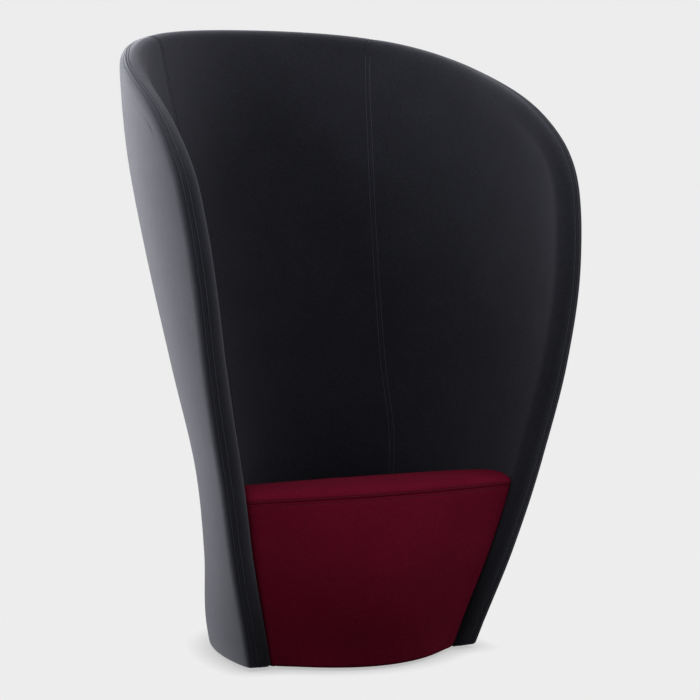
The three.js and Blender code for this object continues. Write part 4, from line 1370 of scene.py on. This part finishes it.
# A pan head screw. Its shank, its star recess and its head's height are shares of the head's radius. The
# lobes' rise, the recess's floor and its mouth are shares of the star and of the head's height.
LOBES = 6
LOBE_RISE = 0.2
SHANK_SHARE = 0.47
STAR_SHARE = 0.42
HEAD_SHARE = 0.45
STAR_FLOOR = ((0.55, 0.75), (1, 0.7))
STAR_LIP = 0.03 * MM
STAR_MOUTH = 1.3

# The screw's thread: its pitch, where a turn has its crest and its end, its root, and the screw's point.
THREAD_PITCH = 1.1 * MM
THREAD_CREST = 0.4 * MM
THREAD_END = 0.8 * MM
POINT_LENGTH = 2.5 * MM
ROOT_SHARE = 0.8
TIP_SHARE = 0.1


def turned(profile, centre, lobe_rise=0.0):
    """Rings of a profile turned about an upright axis. Its lobed points follow a star."""
    angles = np.linspace(0, 2 * math.pi, ROUND_SIDES, endpoint=False)
    rings = []
    for radius, height, is_lobed in profile:
        reach = radius * (1 + lobe_rise * np.cos(LOBES * angles) * is_lobed)
        x, y = centre[0] + reach * np.cos(angles), centre[1] + reach * np.sin(angles)
        rings.append(np.stack([x, y, np.full(ROUND_SIDES, height)], -1))
    return np.vstack(rings)


def rounded(centre, radius, start, end):
    """Points of a rounding in a profile, from one angle to another in degrees."""
    angles = np.radians(np.linspace(start, end, ROUNDING_STEPS))
    return [(centre[0] + radius * math.cos(a), centre[1] + radius * math.sin(a), False) for a in angles]


def glide_profile(base, low, high):
    """A glide's section, once round: recess, running face, rounded edge and top."""
    outer, edge, recess = (high.x - low.x) / 2, base.glide_edge, base.glide_recess
    lip, brim = edge / 2, edge / 3
    hole, floor = recess * GLIDE_HOLE_SHARE, low.z + recess / 2
    profile = [(hole, floor, False), (recess - brim, floor, False)]
    profile += rounded((recess + lip, low.z + lip), lip, 180, 270)
    profile += rounded((outer - edge, low.z + edge), edge, 270, 360)
    profile += rounded((outer - brim, high.z - brim), brim, 0, 90)
    return [*profile, (hole, high.z, False)]


def screw_profile(low, high):
    """A pan head screw's section from its star recess over the head to the point."""
    head = (high.x - low.x) / 2
    shank, star, thick = head * SHANK_SHARE, head * STAR_SHARE, head * HEAD_SHARE
    profile = [(star * reach, low.z + thick * depth, True) for reach, depth in STAR_FLOOR]
    profile += [(star, low.z + STAR_LIP, True), (star * STAR_MOUTH, low.z, False)]
    profile += rounded((head - thick / 2, low.z + thick / 2), thick / 2, 270, 360)
    profile += [(head, low.z + thick, False), (shank, low.z + thick, False)]
    root = shank * ROOT_SHARE
    for height in np.arange(low.z + thick + THREAD_END, high.z - POINT_LENGTH, THREAD_PITCH):
        profile += [(root, height, False), (shank, height + THREAD_CREST, False)]
        profile.append((root, height + THREAD_END, False))
    return [*profile, (shank * TIP_SHARE, high.z, False)]


class CHAIR_OT_glides(bpy.types.Operator):
    """Turn the glides and their screws"""

    bl_idname = "lounge_chair.glides"
    bl_label = "Glides"

    def execute(self, context):
        settings = settings_of(context)
        glides = sorted(name for name in nodes if name.startswith("glide_") and "screw" not in name)
        for name in glides:
            self.add_glide(settings, name)
        for name in glides:
            self.add_screw(settings, name.replace("glide", "glide_screw"))
        return {"FINISHED"}

    def add_glide(self, settings, name):
        low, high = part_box(name)
        profile = glide_profile(settings.base, low, high)
        points = turned(profile, (low + high) / 2)
        faces = grid_faces(len(profile), ROUND_SIDES, closed=True)
        last = len(points) - ROUND_SIDES
        for i in range(ROUND_SIDES):
            j = (i + 1) % ROUND_SIDES
            faces.append((last + i, last + j, j, i))
        piece = make_mesh(name.replace("glide", "glide_foot"), points, facing_out(points, faces))
        dress(piece, glide_plastic(settings.finishes), (name,))

    def add_screw(self, settings, name):
        low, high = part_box(name)
        profile = screw_profile(low, high)
        points = turned(profile, (low + high) / 2, LOBE_RISE)
        faces = grid_faces(len(profile), ROUND_SIDES, closed=True)
        faces.append(tuple(range(ROUND_SIDES)))
        faces.append(tuple(reversed(range(len(points) - ROUND_SIDES, len(points)))))
        piece = make_mesh(name + "_turned", points, facing_out(points, faces))
        dress(piece, zinc_plate(settings.finishes), (name,))


# Materials


class Shading:
    """Builds one material's node tree."""

    YARN_DISTORTION = 1.2
    YARN_DETAIL = 2.0
    YARN_DETAIL_SCALE = 1.5

    def __init__(self, tree):
        self.tree = tree
        self.shader = tree.nodes["Principled BSDF"]
        self.place = tree.nodes.new("ShaderNodeTexCoord")

    def node(self, kind, **values):
        """A new node, with values for its own settings or for its inputs."""
        made = self.tree.nodes.new(kind)
        for key, value in values.items():
            if hasattr(made, key):
                setattr(made, key, value)
            else:
                made.inputs[key.replace("_", " ").title()].default_value = value
        return made

    def feed(self, socket, value):
        """Sets an input to a number, or links it to an output."""
        if isinstance(value, (int, float)):
            socket.default_value = value
        else:
            self.tree.links.new(value, socket)

    def noise(self, scale, detail, roughness=0.5, distortion=0.0, stretch=None):
        """A noise texture on object coordinates, optionally stretched along the axes."""
        made = self.node(
            "ShaderNodeTexNoise", Scale=scale, Detail=detail, Roughness=roughness, Distortion=distortion
        )
        source = self.place.outputs["Object"]
        if stretch:
            mapping = self.node("ShaderNodeMapping", Scale=stretch)
            self.feed(mapping.inputs["Vector"], source)
            source = mapping.outputs["Vector"]
        self.feed(made.inputs["Vector"], source)
        return made.outputs["Fac"]

    def thread_wave(self, scale, direction):
        """Ribs of yarn across the cloth's own UV map."""
        made = self.node("ShaderNodeTexWave", Scale=scale, bands_direction=direction)
        made.inputs["Distortion"].default_value = self.YARN_DISTORTION
        made.inputs["Detail"].default_value = self.YARN_DETAIL
        made.inputs["Detail Scale"].default_value = self.YARN_DETAIL_SCALE
        self.feed(made.inputs["Vector"], self.place.outputs["UV"])
        return made.outputs["Fac"]

    def product(self, first, second):
        return self.maths("MULTIPLY", first, second)

    def maths(self, operation, *values):
        made = self.node("ShaderNodeMath", operation=operation)
        for socket, value in zip(made.inputs, values):
            self.feed(socket, value)
        return made.outputs[0]

    def blend(self, *shares):
        """The sum of some values, each times its share."""
        parts = [self.product(value, share) for value, share in shares]
        total = parts[0]
        for part in parts[1:]:
            total = self.maths("ADD", total, part)
        return total

    def ramp(self, value, *stops):
        """A colour from a value, by stops of place and colour."""
        made = self.node("ShaderNodeValToRGB")
        elements = made.color_ramp.elements
        while len(elements) < len(stops):
            elements.new(0.5)
        for element, (place, colour) in zip(elements, stops):
            element.position = place
            element.color = (*colour, 1)
        self.feed(made.inputs["Fac"], value)
        return made.outputs["Color"]

    def scaled(self, value, low, high):
        """A value from 0 to 1, brought between two others."""
        made = self.node("ShaderNodeMapRange", To_Min=low, To_Max=high)
        self.feed(made.inputs["Value"], value)
        return made.outputs["Result"]

    def bump(self, height, distance, strength, below=None):
        """A bumped normal, over the bump below it."""
        made = self.node("ShaderNodeBump", Strength=strength, Distance=distance)
        self.feed(made.inputs["Height"], height)
        if below:
            self.feed(made.inputs["Normal"], below)
        return made.outputs["Normal"]

    def finish(self, colour, roughness, normal, **values):
        """Feeds the shader, and sets its other inputs by name."""
        for name, value in (("Base Color", colour), ("Roughness", roughness), ("Normal", normal)):
            self.feed(self.shader.inputs[name], value)
        for name, value in values.items():
            self.shader.inputs[name.replace("_", " ")].default_value = value


def shaded(name):
    """Makes a function that shades a material into one that gives the material, and shades it only once."""

    def with_name(shade):
        def get(finishes):
            material = bpy.data.materials.get(name)
            if material is None:
                material = bpy.data.materials.new(name)
                material.use_nodes = True
                shade(Shading(material.node_tree), finishes)
            return material

        return get

    return with_name


def tinted(colour, share):
    return tuple(min(1.0, c * share) for c in colour)


# How much darker and lighter than its colour a wool's yarn gets, at a contrast of 1.
DARK_YARN = 0.45
LIGHT_YARN = 0.6


def shade_wool(s, colour, contrast, sheen, sheen_tint):
    """Fulled wool cloth: mottled yarn, a fine weave, loose fibres and a soft sheen."""
    yarn = s.noise(scale=330, detail=3, roughness=0.65)
    slub = s.noise(scale=150, detail=3, roughness=0.6, stretch=(1, 1, 4))
    cloud = s.noise(scale=9, detail=2)
    fibre = s.noise(scale=2600, detail=2, roughness=0.7)
    weave = s.product(s.thread_wave(scale=230, direction="X"), s.thread_wave(scale=230, direction="Y"))
    tone = s.blend((yarn, 0.45), (slub, 0.4), (cloud, 0.15))
    dark = tinted(colour, 1 - DARK_YARN * contrast)
    light = tinted(colour, 1 + LIGHT_YARN * contrast)
    normal = s.bump(weave, distance=0.25 * MM, strength=0.5)
    normal = s.bump(fibre, distance=0.25 * MM, strength=0.6, below=normal)
    normal = s.bump(yarn, distance=0.6 * MM, strength=0.5, below=normal)
    normal = s.bump(slub, distance=1.1 * MM, strength=0.5, below=normal)
    s.finish(
        colour=s.ramp(tone, (0.36, dark), (0.5, colour), (0.64, light)),
        roughness=s.scaled(yarn, 0.82, 0.98),
        normal=normal,
        Sheen_Weight=sheen,
        Sheen_Roughness=0.5,
        Sheen_Tint=(*sheen_tint, 1),
        Specular_IOR_Level=0.05,
    )


@shaded("Charcoal wool")
def charcoal_wool(s, finishes):
    shade_wool(s, tuple(finishes.charcoal), contrast=0.7, sheen=0.3, sheen_tint=(0.85, 0.86, 0.95))


@shaded("Burgundy wool")
def burgundy_wool(s, finishes):
    shade_wool(s, tuple(finishes.burgundy), contrast=0.5, sheen=0.03, sheen_tint=(1.0, 0.15, 0.3))


def shade_thread(s, wool, share):
    """Twisted sewing thread, some times as light as its wool."""
    colour = tinted(wool, share)
    twist = s.noise(scale=1800, detail=2)
    s.finish(
        colour=s.ramp(twist, (0.3, tinted(colour, 0.8)), (0.7, tinted(colour, 1.3))),
        roughness=0.6,
        normal=s.bump(twist, distance=0.1 * MM, strength=0.5),
    )


@shaded("Charcoal thread")
def charcoal_thread(s, finishes):
    shade_thread(s, finishes.charcoal, share=4.8)


@shaded("Burgundy thread")
def burgundy_thread(s, finishes):
    shade_thread(s, finishes.burgundy, share=0.6)


@shaded("Cut foam")
def cut_foam(s, finishes):
    """Open-celled foam."""
    colour = tuple(finishes.foam)
    cells = s.noise(scale=700, detail=4, roughness=0.7)
    s.finish(
        colour=s.ramp(cells, (0.35, tinted(colour, 0.6)), (0.6, colour)),
        roughness=0.95,
        normal=s.bump(cells, distance=0.6 * MM, strength=0.6),
    )


@shaded("Birch plywood")
def birch_ply(s, finishes):
    """Sanded birch plywood: veneers seen on the edges, long grain on the faces."""
    colour = tuple(finishes.ply)
    grain = s.noise(scale=60, detail=5, roughness=0.6, distortion=0.4, stretch=(1, 0.06, 1))
    veneer = s.noise(scale=1, detail=0, stretch=(0.01, 0.01, 700))
    tone = s.blend((grain, 0.6), (veneer, 0.4))
    s.finish(
        colour=s.ramp(tone, (0.3, tinted(colour, 0.62)), (0.55, colour), (0.75, tinted(colour, 1.25))),
        roughness=s.scaled(grain, 0.5, 0.75),
        normal=s.bump(grain, distance=0.15 * MM, strength=0.4),
    )


@shaded("Powder coat")
def powder_coat(s, finishes):
    """Black powder coat with its fine orange peel."""
    colour = tuple(finishes.coat)
    peel = s.noise(scale=900, detail=2, roughness=0.4)
    s.finish(
        colour=s.ramp(peel, (0.35, tinted(colour, 0.85)), (0.65, tinted(colour, 1.2))),
        roughness=s.scaled(peel, 0.32, 0.5),
        normal=s.bump(peel, distance=0.08 * MM, strength=0.5),
    )


@shaded("Zinc plate")
def zinc_plate(s, finishes):
    """Bright zinc plate, lightly scuffed."""
    colour = tuple(finishes.zinc)
    cloud = s.noise(scale=500, detail=4, roughness=0.65)
    s.finish(
        colour=s.ramp(cloud, (0.3, tinted(colour, 0.75)), (0.7, colour)),
        roughness=s.scaled(cloud, 0.22, 0.48),
        normal=s.bump(cloud, distance=0.05 * MM, strength=0.4),
        Metallic=1.0,
    )


@shaded("Dust cloth")
def dust_cloth(s, finishes):
    """Black non-woven cloth, with its pressed dots."""
    colour = tuple(finishes.dust_cloth)
    dots = s.node("ShaderNodeTexVoronoi", Scale=420.0)
    s.feed(dots.inputs["Vector"], s.place.outputs["Object"])
    hairs = s.noise(scale=1500, detail=3, roughness=0.7)
    normal = s.bump(dots.outputs["Distance"], distance=0.2 * MM, strength=0.5)
    s.finish(
        colour=s.ramp(hairs, (0.3, tinted(colour, 0.7)), (0.7, tinted(colour, 2.2))),
        roughness=0.92,
        normal=s.bump(hairs, distance=0.2 * MM, strength=0.5, below=normal),
    )


@shaded("Glide plastic")
def glide_plastic(s, finishes):
    """Moulded black polyamide, scuffed where it slides."""
    colour = tuple(finishes.glide)
    grain = s.noise(scale=1200, detail=2)
    scuff = s.noise(scale=60, detail=6, roughness=0.7)
    s.finish(
        colour=s.ramp(scuff, (0.4, colour), (0.75, tinted(colour, 3))),
        roughness=s.scaled(scuff, 0.4, 0.7),
        normal=s.bump(grain, distance=0.08 * MM, strength=0.4),
    )


SLOT_MATERIALS = {
    "charcoal_wool": charcoal_wool,
    "burgundy_wool": burgundy_wool,
    "foam": cut_foam,
    "frame_steel": powder_coat,
    "zinc": zinc_plate,
    "birch_ply": birch_ply,
    "black_cloth": dust_cloth,
    "black_plastic": glide_plastic,
}


class CHAIR_OT_frame_finish(bpy.types.Operator):
    """Give every carried piece of the frame its finish"""

    bl_idname = "lounge_chair.frame_finish"
    bl_label = "Frame finishes"

    def execute(self, context):
        finishes = settings_of(context).finishes
        slots = {part["node"]: part["material_slot"] for part in frame["record"]["subparts"]}
        for name, piece in nodes.items():
            if piece.hide_render:
                continue
            material = SLOT_MATERIALS[slots[name]](finishes)
            piece.data.materials.clear()
            piece.data.materials.append(material)
        return {"FINISHED"}


# Studio

# How wide the light spreads.
NARROW = math.radians(80)
WIDE = math.radians(180)

# The soft lights: name, place, aim, width and height in metres, power in watts, and spread.
LIGHTS = (
    ("key_softbox", (-3.05, 3.05, 1.9), (0, 0, 2.5), (2.4, 1.6), 99, NARROW),
    ("rim_softbox", (-1.25, 4.1, 1.9), (0, 0, 2.5), (2.4, 1.6), 93, NARROW),
    ("back_softbox", (0.6, 3.4, 3.4), (0, 0, 1.2), (3.0, 1.2), 45, WIDE),
    ("top_softbox", (0.0, -0.6, 3.7), (0, -0.2, 0.4), (1.2, 1.2), 5, WIDE),
    ("left_softbox", (-3.8, 0.5, 2.9), (0, 0, 1.2), (1.8, 1.8), 75, WIDE),
    ("right_softbox", (3.9, 0.3, 2.9), (0, 0, 1.2), (1.8, 1.8), 40, WIDE),
    ("left_front_softbox", (-3.9, -2.3, 1.9), (0, -0.2, 0.9), (1.5, 1.5), 19, WIDE),
    ("right_front_softbox", (4.2, -2.0, 1.9), (0, -0.2, 0.9), (1.5, 1.5), 38, WIDE),
)

# The stage's colours: the floor's glow and its paper, the room's light and the black card.
WHITE = (1, 1, 1, 1)
PAPER_BASE = (0.004, 0.004, 0.004, 1)
ROOM = (0.42, 0.42, 0.45, 1)
BLACK_CARD = (0.01, 0.01, 0.01, 1)

# The floor's glow carries a painted contact shadow: by ambient occlusion it darkens towards this share of its
# brightness where the chair touches it. To other rays than the camera's it glows dimly as painted bounce
# light, with painted shade under the chair.
CONTACT_REACH = 0.06
CONTACT_SAMPLES = 8
CONTACT_SHADOW_SHARE = 0.55
BOUNCE_REACH = 0.4
BOUNCE_SAMPLES = 2
BOUNCE = 0.16

# How far the camera sees, in widths of the floor.
FLOORS_IN_SIGHT = 10


def add_light(name, place, aim, size, power, spread):
    light = bpy.data.lights.new(name, "AREA")
    light.spread = spread
    light.shape = "RECTANGLE"
    light.size, light.size_y = size
    light.energy = power
    lamp = add_object(name, light)
    lamp.location = place
    lamp.rotation_mode = "QUATERNION"
    lamp.rotation_quaternion = (Vector(aim) - Vector(place)).to_track_quat("-Z", "Y")


def stage_piece(name, corners, material_name):
    """A rectangle of the stage with its own material, and that material's node tree and shader."""
    piece = make_mesh(name, corners, [(0, 1, 2, 3)])
    material = bpy.data.materials.new(material_name)
    material.use_nodes = True
    piece.data.materials.append(material)
    return piece, material.node_tree, material.node_tree.nodes["Principled BSDF"]


def make_floor(stage):
    """A pale paper floor that glows a little, so that it stays even to the horizon. Its glow holds a painted
    contact shadow where the chair stands close, and to other rays it is a dim painted bounce light with
    painted shade under the chair.
    """
    half = stage.floor_size / 2
    corners = [(-half, -half, 0), (half, -half, 0), (half, half, 0), (-half, half, 0)]
    _, tree, shader = stage_piece("floor", corners, "Paper floor")
    shader.inputs["Base Color"].default_value = PAPER_BASE
    shader.inputs["Roughness"].default_value = 1.0
    shader.inputs["Specular IOR Level"].default_value = 0.0
    shader.inputs["Emission Color"].default_value = WHITE
    # Painted bounce light: a dim glow to other rays than the camera's, with painted shade under the chair.
    painted_bounce_glow = painted_shade_by_occlusion(tree, BOUNCE_REACH, BOUNCE_SAMPLES, 0.0, BOUNCE)
    # Painted contact shadow: the paper seen by the camera darkens where the chair stands close.
    seen_with_painted_shadow = painted_shade_by_occlusion(tree, CONTACT_REACH, CONTACT_SAMPLES, stage.paper * CONTACT_SHADOW_SHARE, stage.paper)
    rays = tree.nodes.new("ShaderNodeLightPath")
    glow = tree.nodes.new("ShaderNodeMix")
    tree.links.new(rays.outputs["Is Camera Ray"], glow.inputs["Factor"])
    tree.links.new(painted_bounce_glow, glow.inputs["A"])
    tree.links.new(seen_with_painted_shadow, glow.inputs["B"])
    tree.links.new(glow.outputs["Result"], shader.inputs["Emission Strength"])


def painted_shade_by_occlusion(tree, reach, samples, near, open_air):
    """Painted shade from ambient occlusion: a value that goes from one where something stands close, to
    another in the open.
    """
    shade = tree.nodes.new("ShaderNodeAmbientOcclusion")
    shade.inputs["Distance"].default_value = reach
    shade.samples = samples
    scaled = tree.nodes.new("ShaderNodeMapRange")
    scaled.inputs["To Min"].default_value = near
    scaled.inputs["To Max"].default_value = open_air
    tree.links.new(shade.outputs["AO"], scaled.inputs["Value"])
    return scaled.outputs["Result"]


def make_world(stage):
    """Pale paper behind the chair, and a dimmer room for its light."""
    world = bpy.data.worlds.new("Studio")
    world.use_nodes = True
    tree = world.node_tree
    background = tree.nodes["Background"]
    background.inputs["Color"].default_value = (stage.paper,) * 3 + (1,)
    room = tree.nodes.new("ShaderNodeBackground")
    room.inputs["Color"].default_value = ROOM
    rays = tree.nodes.new("ShaderNodeLightPath")
    choose = tree.nodes.new("ShaderNodeMixShader")
    tree.links.new(rays.outputs["Is Camera Ray"], choose.inputs["Fac"])
    tree.links.new(room.outputs[0], choose.inputs[1])
    tree.links.new(background.outputs[0], choose.inputs[2])
    tree.links.new(choose.outputs[0], tree.nodes["World Output"].inputs["Surface"])
    bpy.context.scene.world = world


def make_flag(stage, origin_y):
    """A low black card in front of the chair, out of the camera's sight, that shades its front's foot."""
    half, height = stage.flag_width / 2, stage.flag_height
    y = origin_y - stage.flag_distance
    foot = stage.flag_foot
    corners = [(-half, y, foot), (half, y, foot), (half, y, height), (-half, y, height)]
    flag, _, shader = stage_piece("flag", corners, "Black card")
    shader.inputs["Base Color"].default_value = BLACK_CARD
    flag.visible_camera = False


class CHAIR_OT_stage(bpy.types.Operator):
    """Set up the floor, the light and the camera"""

    bl_idname = "lounge_chair.stage"
    bl_label = "Studio"

    def execute(self, context):
        settings = settings_of(context)
        stage = settings.stage
        origin_y = Wall(settings.shell).origin_y
        make_floor(stage)
        make_world(stage)
        context.scene.view_settings.view_transform = "Standard"
        for light in LIGHTS:
            add_light(*light)
        make_flag(stage, origin_y)
        camera = add_object("camera", bpy.data.cameras.new("camera"))
        camera.data.lens = stage.lens
        camera.data.clip_end = FLOORS_IN_SIGHT * stage.floor_size
        turn = stage.azimuth
        x, y = math.sin(turn) * stage.distance, origin_y - math.cos(turn) * stage.distance
        camera.location = (x, y, stage.camera_height)
        camera.rotation_euler = (math.pi / 2 - stage.pitch, 0, turn)
        context.scene.camera = camera
        return {"FINISHED"}


class CHAIR_PT_panel(bpy.types.Panel):
    """Lists the chair's pieces in the sidebar"""

    bl_idname = "CHAIR_PT_panel"
    bl_label = "Lounge chair"
    bl_space_type = "VIEW_3D"
    bl_region_type = "UI"
    bl_category = "Lounge Chair"

    def draw(self, context):
        layout = self.layout
        for operator in OPERATORS:
            layout.operator(operator.bl_idname)
        for key in ("shell", "seat", "base", "sewing", "finishes", "stage"):
            group = getattr(settings_of(context), key)
            box = layout.box()
            for name in group.bl_rna.properties.keys():
                if name not in ("rna_type", "name"):
                    box.prop(group, name)


OPERATORS = (
    CHAIR_OT_outer_pads,
    CHAIR_OT_inner_pads,
    CHAIR_OT_seat_cushion,
    CHAIR_OT_front_pad,
    CHAIR_OT_stitches,
    CHAIR_OT_dust_cloth,
    CHAIR_OT_glides,
    CHAIR_OT_frame_finish,
    CHAIR_OT_stage,
)
GROUPS = (ShellSizes, SeatSizes, BaseSizes, SewingSizes, Finishes, StageSizes, LoungeChairSettings)


def register():
    for made in (*GROUPS, *OPERATORS, CHAIR_PT_panel):
        bpy.utils.register_class(made)
    bpy.types.Scene.lounge_chair = PointerProperty(type=LoungeChairSettings)


def unregister():
    del bpy.types.Scene.lounge_chair
    for made in reversed((*GROUPS, *OPERATORS, CHAIR_PT_panel)):
        bpy.utils.unregister_class(made)


def main():
    register()
    bpy.ops.lounge_chair.outer_pads()
    bpy.ops.lounge_chair.inner_pads()
    bpy.ops.lounge_chair.seat_cushion()
    bpy.ops.lounge_chair.front_pad()
    bpy.ops.lounge_chair.stitches()
    bpy.ops.lounge_chair.dust_cloth()
    bpy.ops.lounge_chair.glides()
    bpy.ops.lounge_chair.frame_finish()
    bpy.ops.lounge_chair.stage()


if __name__ == "__main__":
    main()
